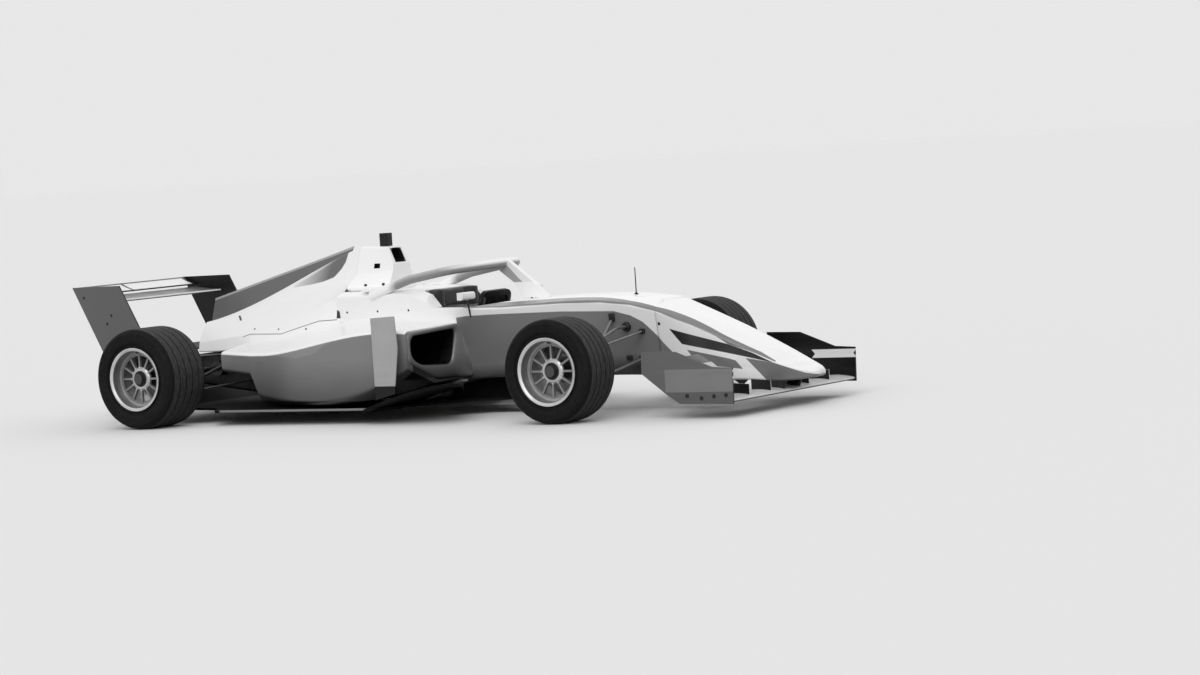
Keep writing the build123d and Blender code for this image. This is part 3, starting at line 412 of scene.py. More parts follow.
def front_wing_paint(name):
    """Pale upper faces, black below and on the fences, grey at the flap's tips, and a painted highlight on
    the nose edges.
    """
    graph = lacquered(name, 0.25, shine=0.3)
    upward = graph.over(graph.nz, 0.12, 0.08)
    # Painted highlight on the upper half of the forward-facing edges
    leading = graph.both(graph.over(graph.nx, 0.25, 0.1), graph.over(graph.nz, -0.15, 0.1),
                         graph.under(graph.math("ABSOLUTE", graph.ny), 0.3, 0.1))
    return grimed(graph, graph.layers(
        grey(10), (graph.either(upward, leading), grey(212)), (FLAP_TIPS, grey(112))), 0.15)


def rear_wing_paint(name):
    """Black wing with bare pale panels along the flap, a painted sky reflection on the main plane's top, and
    a painted highlight along the leading edge.
    """
    graph = lacquered(name, 0.2, shine=0.3)
    upward = graph.over(graph.nz, 0.12, 0.08)
    panels = graph.either(*[graph.within(y=limits) for limits in FLAP_PANELS])
    # Painted highlight along the leading edge
    nose = graph.both(graph.over(graph.x, REAR_LEADING_EDGE), graph.over(graph.nx, 0.1, 0.05),
                      graph.over(graph.nz, -0.3, 0.05))
    return grimed(graph, graph.layers(
        grey(20),
        # Painted sky reflection on the main plane's top
        (graph.both(upward, REAR_MAIN), grey(92)),
        (graph.both(upward, panels, REAR_FLAP), grey(232)),
        (nose, grey(225)),
    ), 0.15)


# Bare materials
TOW = 0.0045


def carbon(name, roughness=0.45, coat=0.05, shine=0.18):
    """Two by two twill of tows, laid on the face that each surface turns outward."""
    graph = Graph(name, roughness, shine=shine)
    graph.constants({"Coat Weight": coat, "Coat Roughness": 0.12})
    end_face, flat_face = (graph.along(normal, 0.01) for normal in (graph.nx, graph.nz))
    across = graph.node("Mix", {0: end_face, 2: graph.x, 3: graph.y}).outputs[0]
    up = graph.node("Mix", {0: flat_face, 2: graph.z, 3: graph.y}).outputs[0]
    warp, weft = (graph.math("DIVIDE", graph.math(way, across, up), TOW) for way in ("ADD", "SUBTRACT"))
    count = graph.math("ADD", graph.math("FLOOR", warp), graph.math("FLOOR", weft))
    lifted = graph.math("LESS_THAN", graph.math("FRACT", graph.math("DIVIDE", count, 4.0)), 0.49)
    crown, trough = (graph.math("ABSOLUTE", graph.wave(thread, math.pi)) for thread in (warp, weft))
    tows = graph.node("Mix", {0: lifted, 2: trough, 3: crown}).outputs[0]
    graph.bump(tows, 0.25, 0.0003)
    weave = graph.mix(graph.both(lifted, graph.ramp(tows, 0, 1, 0.4, 1.0)), grey(7), grey(20))
    return graph.colour(graph.mix(graph.patches(7, 0.5, 0.8, 0.15), weave, grey(55)))


def metal(name, level, roughness, brushed=(1, 1, 1), metallic=0.9, grain=60):
    """Worked metal with fine lines along the brushed direction."""
    graph = Graph(name, roughness, metallic)
    lines = graph.noise(grain, 3, brushed)
    graph.roughen(lines, roughness * 0.8, roughness * 1.25)
    graph.bump(lines, 0.15, 0.0004)
    return graph.shaded(graph.patches(11, 0.45, 0.8, 0.35), level, 0.72)


def cast(name, level):
    """Sand cast alloy with a machined sheen."""
    graph = Graph(name, 0.5, 0.75)
    graph.bump(graph.noise(700, 2), 0.35, 0.0006)
    graph.roughen(graph.noise(25, 3), 0.42, 0.62)
    return graph.shaded(graph.patches(6, 0.4, 0.8), level, 0.7)


def plastic(name, level, roughness=0.55, shine=0.3):
    """Moulded plastic with a fine grain."""
    graph = Graph(name, roughness, shine=shine)
    graph.bump(graph.noise(900, 2), 0.25, 0.0003)
    graph.roughen(graph.noise(14, 3), roughness * 0.85, roughness * 1.15)
    return graph.shaded(graph.patches(5, 0.4, 0.8), level, 0.8)


HUB_RADIUS = 0.070
HUB_CENTRE_RADIUS = 0.047


def disc_iron(name, centre):
    """Turned iron: rings round the wheel's axis."""
    graph = Graph(name, 0.35, 1.0)
    radius = graph.radius(centre)
    graph.bump(graph.wave(radius, 4200.0), 0.15, 0.0003)
    return graph.colour(graph.mix(graph.under(radius, HUB_RADIUS), grey(118), grey(84)))


def rim_alloy(name, centre, radius):
    """Grey spokes and a dark centre, with painted highlights on the silver flange, the dish root and the hub
    ring, and painted shade on the dish wall.
    """
    graph = Graph(name, 0.34, 0.45)
    at = graph.radius(centre)
    # Rings of painted light and shade: the hub ring, the dish's root and the flange bright, the dish wall
    # dark
    starts = ((HUB_RADIUS, 140), (radius - 0.036, 190), (radius - 0.0215, 84), (radius - 0.017, 206))
    rings = [(graph.over(at, start, 0.001), grey(level)) for start, level in starts]
    bare = graph.layers(grey(200), *rings, (graph.under(at, HUB_CENTRE_RADIUS, 0.001), grey(70)))
    graph.bump(graph.noise(300, 2), 0.08, 0.0004)
    graph.roughen(graph.noise(22, 3), 0.28, 0.42)
    return graph.colour(graph.mix(graph.patches(16, 0.45, 0.8, 0.35), bare, grey(70)))


def rubber(name, centre, tread_radius):
    """Tyre rubber: scuffed dull tread with painted shade in its grooves, and darker walls."""
    graph = Graph(name, 0.7, shine=0.15)
    radius = graph.radius(centre)
    scuffs = graph.noise(38, 5, (1.0, 2.5, 1.0))
    graph.roughen(scuffs, 0.62, 0.82)
    graph.bump(graph.noise(650, 3), 0.35, 0.0008)
    worn_tread_and_groove_shade = graph.mix(graph.ramp(scuffs, 0.35, 0.7), grey(46), grey(70))
    # Painted shade at the bottom of the grooves
    worn_tread_and_groove_shade = graph.mix(graph.under(radius, tread_radius - GROOVE_SHADE, 0.001), worn_tread_and_groove_shade, grey(13))
    wall = graph.mix(graph.patches(10, 0.3, 0.8, detail=3), grey(15), grey(22))
    return graph.colour(graph.mix(graph.over(radius, tread_radius - TREAD_EDGE, 0.004), wall, worn_tread_and_groove_shade))


def fabric(name, level, thread=0.0016, fuzz=0.35):
    """Woven cover: threads crossing in object space, with a soft sheen."""
    graph = Graph(name, 0.85)
    graph.constants({"Sheen Weight": fuzz})
    lines = (graph.math("ADD", graph.y, graph.z), graph.math("SUBTRACT", graph.y, graph.x))
    weave = graph.both(*[graph.wave(line, math.tau / thread) for line in lines])
    graph.bump(weave, 0.4, 0.0004)
    shade = graph.mix(graph.ramp(weave, -1, 1), grey(level * 0.8), grey(level))
    return graph.colour(graph.mix(graph.patches(12, 0.4, 0.8, 0.4), shade, grey(level * 0.7)))


def grained(name, level):
    """Laminated skid board with long grain and scrapes."""
    graph = Graph(name, 0.7)
    grain = graph.noise(40, 5, (0.06, 1.0, 1.0))
    graph.bump(grain, 0.4, 0.0008)
    return graph.colour(graph.mix(graph.ramp(grain, 0.35, 0.7), grey(level * 0.75), grey(level)))


FIN_PITCH, TUBE_PITCH = 0.004, 0.012


def finned(name, level):
    """Radiator core: fine fins between flat tubes, with painted shade in the gaps between them."""
    graph = Graph(name, 0.45, 0.7)
    fins = graph.wave(graph.side, math.tau / FIN_PITCH)
    tubes = graph.wave(graph.z, math.tau / TUBE_PITCH)
    graph.bump(graph.math("ADD", fins, tubes), 0.6, 0.001)
    # Painted shade in grey(22) between the fins and the tubes
    return graph.colour(graph.mix(graph.ramp(graph.either(fins, tubes), -0.4, 0.8), grey(22), grey(level)))


def lens(name):
    """Glass over a grid of small lamps."""
    graph = Graph(name, 0.15)
    graph.constants({"Coat Weight": 1.0})
    cell = graph.node("TexVoronoi", {"Vector": graph.where, "Scale": 85.0, "Randomness": 0.0},
                      feature="F1", distance="CHEBYCHEV")
    spots = graph.ramp(cell.outputs["Distance"], 0.18, 0.3, 1.0, 0.0)
    graph.bump(spots, 0.6, 0.001)
    return graph.colour(graph.mix(spots, grey(40), grey(120)))


def heated(name, level):
    """Steel pipe with darker heat bands."""
    graph = Graph(name, 0.38, 0.95)
    bands = graph.noise(9, 3, (3.0, 0.3, 0.3))
    graph.bump(graph.noise(90, 3), 0.12, 0.0004)
    return graph.shaded(graph.ramp(bands, 0.35, 0.65), level, 0.55)


MIRROR_HEIGHT = 0.045


def mirror_paint(name):
    """White housing with glass behind and a black stalk."""
    graph = lacquered(name)
    _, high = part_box("mirrors")
    housing = graph.over(graph.z, high.z - MIRROR_HEIGHT)
    glass = graph.both(housing, graph.under(graph.nx, -0.8, 0.02))
    graph.put(graph.shader.inputs["Metallic"], glass)
    graph.put(graph.shader.inputs["Roughness"], graph.ramp(glass, 0, 1, 0.3, 0.06))
    return graph.colour(graph.layers(BLACK, (housing, grey(238)), (glass, grey(150))))


HALO_FOOT = {"x": (0.42, None), "z": (None, 0.722)}
HALO_PILLAR = {"x": (0.40, None), "side": (None, 0.019)}
# Lower edge of the painted highlight up the pillar's front
PILLAR_BAND = [(0.40, 0.836), (0.44, 0.797), (0.50, 0.737), (0.56, 0.690)]


def halo_paint(name):
    """Satin grey tube with a painted lighter top, white ends and a white foot, and painted highlights on its
    front curve and up the pillar's front.
    """
    graph = lacquered(name, 0.4, 0.15)
    # Painted highlights up the pillar's front and on the upward faces of the tube's front curve
    band = graph.both(HALO_PILLAR, graph.above(PILLAR_BAND, 0.002))
    bend_highlight = graph.both(graph.ramp(graph.x, 0.15, 0.38), graph.over(graph.nz, 0.25, 0.3))
    rear = graph.ramp(graph.x, -0.20, -0.14, 1.0, 0.0)
    # Painted light and shade: upper faces paler, lower faces darker
    tube = graph.mix(graph.over(graph.nz, 0.25, 0.35), grey(134), grey(172))
    return graph.colour(graph.mix(graph.either(HALO_FOOT, band, bend_highlight, rear), tube, WHITE))


VANE_FOOT_TOP = 0.215


def vane_paint(name):
    """Pale vane on a dark foot."""
    graph = lacquered(name, 0.1, shine=0.22)
    shade = graph.mix(graph.patches(3, 0.35, 0.7, detail=3), grey(160), grey(176))
    return grimed(graph, graph.mix(graph.under(graph.z, VANE_FOOT_TOP), shade, grey(10)), 0.12)


def finish(material, *names):
    """The material in every slot of these CAD nodes."""
    for name in names:
        slots = NODES[name].data.materials
        if not slots:
            slots.append(material)
        for index in range(len(slots)):
            slots[index] = material


CARBON = carbon("carbon_twill")
SATIN_BLACK = plastic("satin_black", 22, 0.4)
STEEL = metal("brushed_steel", 150, 0.35, (0.2, 1, 1))
finish(body_paint("body_livery"), "monocoque", "nose_cone")
finish(pod_paint("pod_livery"), "sidepod_right", "sidepod_left")
finish(cover_paint("cover_livery"), "engine_cover")
finish(airbox_paint("airbox_livery"), "airbox")
finish(fin_paint("fin_livery"), "shark_fin")
finish(halo_paint("halo_livery"), "halo")
finish(plate_paint("front_plate_livery", front_plate_outer, PLATE_STRIP), "front_wing_endplates")
finish(plate_paint("rear_plate_livery", rear_plate_outer), "rear_wing_endplates")
finish(front_wing_paint("front_wing_livery"), "front_wing_planes")
finish(rear_wing_paint("rear_wing_livery"), "rear_wing_planes")
finish(vane_paint("vane_paint"), "sidepod_vanes")
finish(mirror_paint("mirror_finish"), "mirrors")
finish(CARBON, "crash_structure", "steering_wheel", "rear_wing_supports")
finish(carbon("matt_carbon_twill", roughness=0.62, coat=0.0, shine=0.07), "floor", "diffuser")
finish(SATIN_BLACK, "camera_box")
# One arm finish in a lit copy at the front and a copy darkened as painted shade at the rear
finish(metal("satin_arms", 128, 0.34, metallic=0.55), "front_suspension", "track_rods")
finish(metal("rear_arms_painted_shade", 74, 0.36, metallic=0.55), "rear_suspension")
finish(STEEL, "steering_column")
finish(metal("shaft_steel", 70, 0.4, (1, 0.2, 1)), "driveshafts")
# Engine and gearbox castings are darkened as painted shade under the car
finish(cast("cast_engine", 84), "engine")
finish(cast("cast_gearbox", 62), "gearbox")
finish(metal("machined_upright", 92, 0.45, grain=120), "rear_uprights", "knuckle_right", "knuckle_left")
finish(finned("radiator_core", 90), "radiators")
finish(heated("hot_pipe", 105), "exhaust")
finish(grained("skid_board", 128), "plank")
finish(lens("rain_lens_glass"), "rain_light")
finish(fabric("headrest_cover", 44), "headrest")
finish(fabric("seat_cover_weave", 38), "seat")


# Meshes
def linked(name, data):
    """A new object of the scene."""
    made = bpy.data.objects.new(name, data)
    bpy.context.scene.collection.objects.link(made)
    return made


def covered(mesh, material, sharp):
    """The mesh in one material, smooth but for edges sharper than that many degrees."""
    mesh.materials.clear()
    mesh.materials.append(material)
    mesh.shade_smooth()
    mesh.set_sharp_from_angle(angle=math.radians(sharp))
    return mesh


def mesh_piece(name, verts, faces, material, body, sharp):
    """A mesh in the row frame that rides on a body."""
    mesh = bpy.data.meshes.new(name)
    mesh.from_pydata([tuple(v) for v in verts], [], faces)
    mesh.validate()
    shape = bmesh.new()
    shape.from_mesh(mesh)
    bmesh.ops.recalc_face_normals(shape, faces=shape.faces)
    shape.to_mesh(mesh)
    shape.free()
    piece = linked(name, covered(mesh, material, sharp))
    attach(piece, body)
    return piece


def ring_faces(rings, count):
    """Faces from each closed ring of verts to the next, and from the last back to the first."""
    return [
        (i * count + j, i * count + (j + 1) % count,
         (i + 1) % rings * count + (j + 1) % count, (i + 1) % rings * count + j)
        for i in range(rings)
        for j in range(count)
    ]


def spun(centre, outline, steps=144):
    """Verts and faces of a closed outline of (radius, y) turned round the wheel's axis."""
    verts = [
        (centre.x + r * math.cos(math.tau * i / steps), y, centre.z + r * math.sin(math.tau * i / steps))
        for i in range(steps)
        for r, y in outline
    ]
    return verts, ring_faces(steps, len(outline))


# Tyres
GROOVES = 4
GROOVE_WIDTH = 0.009
GROOVE_DEPTH = 0.006
GROOVE_SHADE = 0.0035
TREAD_EDGE = 0.012
SHOULDER_ROUND = 0.048
# Wall of the tyre as (drop below the tread, inset from the widest part)
TYRE_WALL = [(0.060, 0.001), (0.045, 0.0), (0.030, 0.0025), (0.028, 0.0012), (0.025, 0.0035), (0.017, 0.008),
             (0.010, 0.015), (0.005, 0.025), (0.002, 0.036), (0.0005, SHOULDER_ROUND)]
BEAD_GAP, BEAD_INSET = 0.0005, 0.010
INNER_DROP, INNER_INSET = 0.015, 0.012


def tyre_outline(tread_radius, bead_radius, bead_half, half):
    """Half outline (radius, offset from the middle) from the bead, over the wall, to the crown."""
    bead = [(bead_radius, bead_half - 0.004), (bead_radius + 0.006, bead_half),
            (bead_radius + 0.020, bead_half + 0.001), (bead_radius + 0.024, half - 0.008),
            (bead_radius + 0.027, half - 0.006)]
    wall = [(tread_radius - drop, half - inset) for drop, inset in TYRE_WALL]
    crown_half = half - SHOULDER_ROUND
    pitch = 2 * crown_half / GROOVES
    crown = []
    for index in range(GROOVES // 2):
        middle = crown_half - pitch * (index + 0.5)
        for offset, drop in ((0.5, 0), (0.42, 1), (-0.42, 1), (-0.5, 0)):
            crown.append((tread_radius - drop * GROOVE_DEPTH, middle + offset * GROOVE_WIDTH))
    return bead + wall + crown


def half_size(name):
    """Middle, half width and radius of a round part on a wheel's axis."""
    low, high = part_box(name)
    return (low + high) / 2, (high.y - low.y) / 2, (high.z - low.z) / 2


def tyre(name):
    """Moulded tyre on its rim, in the place of the CAD's tyre."""
    centre, half, radius = half_size("tyre_" + name)
    _, rim_half, rim_radius = half_size("rim_" + name)
    side = tyre_outline(radius, rim_radius + BEAD_GAP, rim_half - BEAD_INSET, half)
    outline = [(r, centre.y + a) for r, a in side] + [(r, centre.y - a) for r, a in reversed(side)]
    inner = rim_radius - INNER_DROP
    outline += [(inner, centre.y - rim_half + INNER_INSET), (inner, centre.y + rim_half - INNER_INSET)]
    verts, faces = spun(centre, outline)
    material = rubber("rubber_" + name, centre, radius)
    piece = mesh_piece("moulded_tyre_" + name, verts, faces, material, "wheel_" + name, 50)
    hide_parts("tyre_" + name)


for wheel in WHEELS:
    tyre(wheel)
    middle, _, rim_radius = half_size("rim_" + wheel)
    finish(rim_alloy("rim_alloy_" + wheel, middle, rim_radius), "rim_" + wheel)
    finish(disc_iron("disc_" + wheel, middle), "hub_" + wheel)


# Nose tip
TIP_ROUND = 0.022
TIP_CUTS = (0.0, 0.35, 0.62, 0.82, 0.94)


def nose():
    """The nose cone with its blunt end rounded off."""
    _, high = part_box("nose_cone")
    start = high.x - TIP_ROUND
    shape = bmesh.new()
    shape.from_mesh(NODES["nose_cone"].data)
    bmesh.ops.remove_doubles(shape, verts=shape.verts, dist=0.00001)
    for share in TIP_CUTS:
        bmesh.ops.bisect_plane(shape, geom=shape.verts[:] + shape.edges[:] + shape.faces[:], dist=0.00001,
                               plane_co=(start + share * TIP_ROUND, 0, 0), plane_no=(1, 0, 0))
    heights = [vert.co.z for vert in shape.verts if vert.co.x > high.x - 0.0005]
    middle = Vector((0, (min(heights) + max(heights)) / 2))
    for vert in shape.verts:
        depth = vert.co.x - start
        away = Vector((vert.co.y, vert.co.z)) - middle
        if depth <= 0 or away.length < 0.001:
            continue
        inset = TIP_ROUND - math.sqrt(max(0.0, TIP_ROUND ** 2 - depth ** 2))
        away *= max(0.0, away.length - inset) / away.length
        vert.co.y, vert.co.z = away.x, away.y + middle.y
    mesh = bpy.data.meshes.new("rounded_nose")
    shape.to_mesh(mesh)
    shape.free()
    piece = linked("rounded_nose", covered(mesh, NODES["nose_cone"].data.materials[0], 24))
    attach(piece, "chassis")
    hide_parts("nose_cone")


nose()


# Finding the surface
TREES = {}


def land(node, start, towards):
    """Point and outward normal where a line from start first meets a CAD node."""
    if node not in TREES:
        mesh = NODES[node].data
        TREES[node] = BVHTree.FromPolygons([v.co for v in mesh.vertices], [p.vertices for p in mesh.polygons])
    point, normal, _, _ = TREES[node].ray_cast(Vector(start), Vector(towards).normalized())
    if point is None:
        raise ValueError(f"no surface of {node} from {start}")
    return point, normal if normal.dot(Vector(towards)) < 0 else -normal


def on_flank(node, x, z, side):
    return land(node, (x, side * 2, z), (0, -side, 0))


def on_deck(node, x, y):
    return land(node, (x, y, 3), (0, 0, -1))


def facing(point, normal):
    """Frame at point whose z axis is the normal."""
    turn = Vector(normal).to_track_quat("Z", "Y").to_matrix().to_4x4()
    return Matrix.Translation(point) @ turn


class Shape:
    """Verts and faces of one piece, gathered from turned and swept forms."""

    def __init__(self):
        self.verts, self.faces = [], []

    def turned(self, place, outline, steps=24, hollow=False):
        """Outline of (radius, height) turned round the place's z axis, capped at both ends or hollow."""
        base, count = len(self.verts), len(outline)
        for i in range(steps):
            angle = math.tau * i / steps
            self.verts += [place @ Vector((r * math.cos(angle), r * math.sin(angle), h)) for r, h in outline]
        for i in range(steps):
            here, there = base + i * count, base + (i + 1) % steps * count
            self.faces += [(here + j, here + j + 1, there + j + 1, there + j) for j in range(count - 1)]
            if hollow:
                self.faces.append((here + count - 1, here, there, there + count - 1))
        if hollow:
            return
        self.faces.append([base + i * count for i in range(steps)])
        self.faces.append([base + i * count + count - 1 for i in range(steps)])

    def swept(self, points, width, thickness, across):
        """Flat strap of that width along points, lying with its width along across."""
        base = len(self.verts)
        across = Vector(across).normalized()
        for index, point in enumerate(points):
            ahead = Vector(points[min(index + 1, len(points) - 1)]) - Vector(points[max(index - 1, 0)])
            lift = ahead.cross(across).normalized() * thickness / 2
            wide = across * width / 2
            self.verts += [Vector(point) + wide + lift, Vector(point) - wide + lift,
                           Vector(point) - wide - lift, Vector(point) + wide - lift]
        for index in range(len(points) - 1):
            here, there = base + 4 * index, base + 4 * index + 4
            self.faces += [(here + j, here + (j + 1) % 4, there + (j + 1) % 4, there + j) for j in range(4)]
        last = base + 4 * (len(points) - 1)
        self.faces += [(base, base + 3, base + 2, base + 1), (last, last + 1, last + 2, last + 3)]

    def block(self, place, size, bevel=0.1):
        """Box of that size centred on place, its long edges cut by a share of the smallest side."""
        x, y, z = (value / 2 for value in size)
        cut = min(size) * bevel
        ring = [(x - cut, y), (x, y - cut), (x, cut - y), (x - cut, -y), (cut - x, -y), (-x, cut - y),
                (-x, y - cut), (cut - x, y)]
        base = len(self.verts)
        for height, inset in ((-z, cut), (cut - z, 0), (z - cut, 0), (z, cut)):
            for a, b in ring:
                self.verts.append(place @ Vector((a * (1 - inset / x), b * (1 - inset / y), height)))
        for here in range(base, base + 24, 8):
            there = here + 8
            self.faces += [(here + j, here + (j + 1) % 8, there + (j + 1) % 8, there + j) for j in range(8)]
        self.faces += [tuple(range(base + 7, base - 1, -1)), tuple(range(base + 24, base + 32))]

    def made(self, name, material, body, slot, sharp=35):
        mesh_piece(name, self.verts, self.faces, material, body, sharp)


SCREW = [(1.0, 0.0), (1.0, 0.22), (0.86, 0.42), (0.50, 0.42), (0.44, 0.10)]
SCREW_SINK = 0.0004


def screw(shape, point, normal, radius):
    """Button head with a socket, let into the surface by a hair."""
    place = facing(Vector(point) - Vector(normal) * SCREW_SINK, normal)
    shape.turned(place, [(r * radius, h * radius) for r, h in SCREW], 16)


# Fasteners and small fittings
DARK_STEEL = metal("dark_steel", 58, 0.42, metallic=0.7)
MATT_BLACK = plastic("matt_black", 16, 0.7, shine=0.2)
# Screws in a flank are node, radius and places (x, z)
FLANK_SCREWS = [
    ("front_wing_endplates", 0.011, [(1.959, 0.123), (2.047, 0.110), (2.123, 0.119), (2.197, 0.124)]),
    ("rear_wing_endplates", 0.008, [(-2.319, 0.752), (-2.112, 0.642), (-2.148, 0.593)]),
    ("nose_cone", 0.009, [(1.523, 0.476), (1.546, 0.300), (1.62, 0.205)]),
    ("engine_cover", 0.006, [(x, 0.515) for x in (-1.30, -1.05, -0.80)]),
    ("monocoque", 0.006, [(x, 0.60) for x in (-0.52, -0.30, -0.08)]),
    ("airbox", 0.009, [(x, 0.745) for x in (-0.469, -0.368)]),
]
FLOOR_SCREWS = (-1.10, -0.70, -0.30, 0.05)
FLOOR_SCREW_RADIUS, FLOOR_SCREW_SIDE = 0.007, 0.715


def fasteners():
    """Button heads in the panels' flanks and along the floor."""
    bolts = Shape()
    for side in SIDES.values():
        for node, radius, places in FLANK_SCREWS:
            for x, z in places:
                screw(bolts, *on_flank(node, x, z, side), radius)
        for x in FLOOR_SCREWS:
            screw(bolts, *on_deck("floor", x, side * FLOOR_SCREW_SIDE), FLOOR_SCREW_RADIUS)
    bolts.made("fasteners", DARK_STEEL, "chassis", "steel")


MAST_X = 1.26
MAST_SINK = 0.002
MAST = [(0.013, 0), (0.013, 0.004), (0.007, 0.008), (0.0032, 0.014), (0.0026, 0.146), (0.0014, 0.150)]


def mast():
    """Thin air speed mast on the nose top, on a small foot."""
    point, normal = on_deck("monocoque", MAST_X, 0.0)
    rod = Shape()
    rod.turned(facing(point - normal * MAST_SINK, (0, 0, 1)), MAST, 16)
    rod.made("nose_mast", MATT_BLACK, "chassis", "black_plastic")


# Feet of the front arms on the cell are (x, z, height)
ARM_FEET = ((1.237, 0.520, 0.045), (1.412, 0.440, 0.026), (1.310, 0.296, 0.026), (1.390, 0.294, 0.026))
FOOT_LENGTH, FOOT_DEPTH, FOOT_LIFT = 0.030, 0.018, 0.008
FOOT_SCREW_LIFT, FOOT_SCREW_RADIUS = 0.0165, 0.008
RACK_X, RACK_Z, RACK_CLEAR = 1.318, 0.466, 0.027
COLLAR = [(0.0145, -0.006), (0.0135, 0.012), (0.0175, 0.016), (0.0225, 0.014), (0.0265, 0.004),
          (0.0265, -0.006)]


def suspension_brackets():
    """Blocks with screw heads where the front arms meet the cell, and a collar round each end of the rack."""
    clevis = Shape()
    for side in SIDES.values():
        for x, z, tall in ARM_FEET:
            point, normal = on_flank("monocoque", x, z, side)
            clevis.block(facing(point + normal * FOOT_LIFT, normal), (FOOT_LENGTH, tall, FOOT_DEPTH))
            screw(clevis, point + normal * FOOT_SCREW_LIFT, normal, FOOT_SCREW_RADIUS)
        point, _ = on_flank("monocoque", RACK_X, RACK_Z + RACK_CLEAR, side)
        clevis.turned(facing((RACK_X, point.y, RACK_Z), (0, side, 0)), COLLAR, 32, hollow=True)
    clevis.made("suspension_brackets", DARK_STEEL, "chassis", "steel")


JOINT_X, JOINT_PROBE_X = -0.567, -0.550
JOINT_LIFT = 0.0008
JOINT_HEIGHTS = (0.545, 0.580, 0.620, 0.655, 0.685)
JOINT_SIDES = (0.255, 0.235, 0.214)
# A pale strip along each floor edge is a painted highlight
FLOOR_EDGE = (-1.14, -0.80, -0.45, -0.06)
FLOOR_EDGE_SIDE, FLOOR_EDGE_HEIGHT = 0.7355, 0.010
RAMP_SIDE = 0.2473
RAMP_ENDS = ((0.0444, 0.6670), (0.0944, 0.6085))
JOINT_STRAP, EDGE_STRAP, RAMP_STRAP = (0.030, 0.003), (0.012, 0.002), (0.0675, 0.004)


def straps(name, paint, level, slot, line, size, across, coat=0.4):
    """On each side of the car, a painted strap of (width, thickness) along that side's line."""
    for hand, side in SIDES.items():
        strap = Shape()
        strap.swept(line(side), *size, across)
        strap.made(name + hand, plain_paint(paint + hand, level, coat), "chassis", slot)


def joint_line(side):
    """Over the joint of cell and engine cover, up the flank and onto the deck."""
    places = [on_flank("monocoque", JOINT_PROBE_X, z, side) for z in JOINT_HEIGHTS]
    places += [on_deck("monocoque", JOINT_PROBE_X, side * y) for y in JOINT_SIDES]
    return [Vector((JOINT_X, point.y, point.z)) + normal * JOINT_LIFT for point, normal in places]


def floor_line(side):
    """Along the straight edge of the floor, where a pale strip is a painted highlight."""
    low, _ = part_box("floor")
    return [(x, side * FLOOR_EDGE_SIDE, low.z + FLOOR_EDGE_HEIGHT) for x in FLOOR_EDGE]


def ramp_line(side):
    """Down the sloping front end of the shoulder beside the cockpit."""
    return [(x, side * RAMP_SIDE, z) for x, z in RAMP_ENDS]


fasteners()
mast()
suspension_brackets()
straps("cover_joint_", "joint_paint_", 243, "body_white", joint_line, JOINT_STRAP, (1, 0, 0))
# Pale strips on the floor's edges, painted highlights
straps("floor_edge_highlight_", "edge_highlight_paint_", 128, "body_light", floor_line, EDGE_STRAP, (0, 0, 1), 0.2)
straps("cockpit_ramp_", "ramp_paint_", 243, "body_white", ramp_line, RAMP_STRAP, (0, 1, 0))


# Inlet mouths
# Outlines are (y, z), and rings are (share of the way from the outer outline to the opening, depth)
MOUTH_OUTER = [(0.276, 0.518), (0.707, 0.498), (0.709, 0.334), (0.482, 0.221), (0.222, 0.219)]
MOUTH_OPENING = [(0.294, 0.495), (0.686, 0.476), (0.690, 0.366), (0.610, 0.313), (0.343, 0.297)]
MOUTH_CENTRE = (0.50, 0.42)
OUTER_ROUND, OPENING_ROUND = 0.030, 0.050
MOUTH_STEPS = 96
MOUTH_RINGS = ((0.0, -0.004), (0.02, 0.002), (0.10, 0.006), (0.5, 0.008), (0.86, 0.005), (0.97, -0.003),
               (1.0, -0.016), (1.02, -0.090), (0.98, -0.092), (0.90, -0.020), (0.0, -0.012))
MOUTH_X, MOUTH_Y, MOUTH_SWEEP = 0.249, 0.200, 0.0841
BLEND_END, BLEND_LENGTH, BLEND_DEPTH = 0.300, 0.050, 0.045


def rounded(points, radius, steps=8):
    """Closed outline with each corner rounded off."""
    outline = []
    for index, corner in enumerate(points):
        before, after = Vector(points[index - 1]), Vector(points[(index + 1) % len(points)])
        corner = Vector(corner)
        start = corner + (before - corner).normalized() * min(radius, (before - corner).length * 0.48)
        end = corner + (after - corner).normalized() * min(radius, (after - corner).length * 0.48)
        for step in range(steps + 1):
            share = step / steps
            outline.append(start.lerp(corner, share).lerp(corner.lerp(end, share), share))
    return outline


def around(outline, centre, steps):
    """Where rays at even angles from centre leave a closed outline."""
    ring = []
    for index in range(steps):
        ray = Vector((math.cos(math.tau * index / steps), math.sin(math.tau * index / steps)))
        for start, end in zip(outline, outline[1:] + outline[:1]):
            first, second = start - centre, end - centre
            edge = second - first
            cross = ray.x * edge.y - ray.y * edge.x
            if abs(cross) < 1e-9:
                continue
            far = (first.x * edge.y - first.y * edge.x) / cross
            along = (first.x * ray.y - first.y * ray.x) / cross
            if far > 0 and -1e-6 <= along <= 1 + 1e-6:
                ring.append(centre + ray * far)
                break
    return ring


def mouth_paint(name):
    """Grey lip that darkens low down as painted shade, with a black bottom and painted shade in the duct."""
    graph = lacquered(name)
    swept = graph.math("ADD", graph.x, graph.math("MULTIPLY", graph.side, MOUTH_SWEEP))
    # Painted shade: the lip darkens downward
    shade = graph.mix(graph.ramp(graph.z, 0.22, 0.36), grey(54), grey(106))
    return graph.colour(graph.layers(
        # Black behind the lip's front is painted shade in the duct
        shade, (graph.under(graph.z, 0.232, 0.006), BLACK), (graph.under(swept, 0.2545, 0.002), BLACK)))


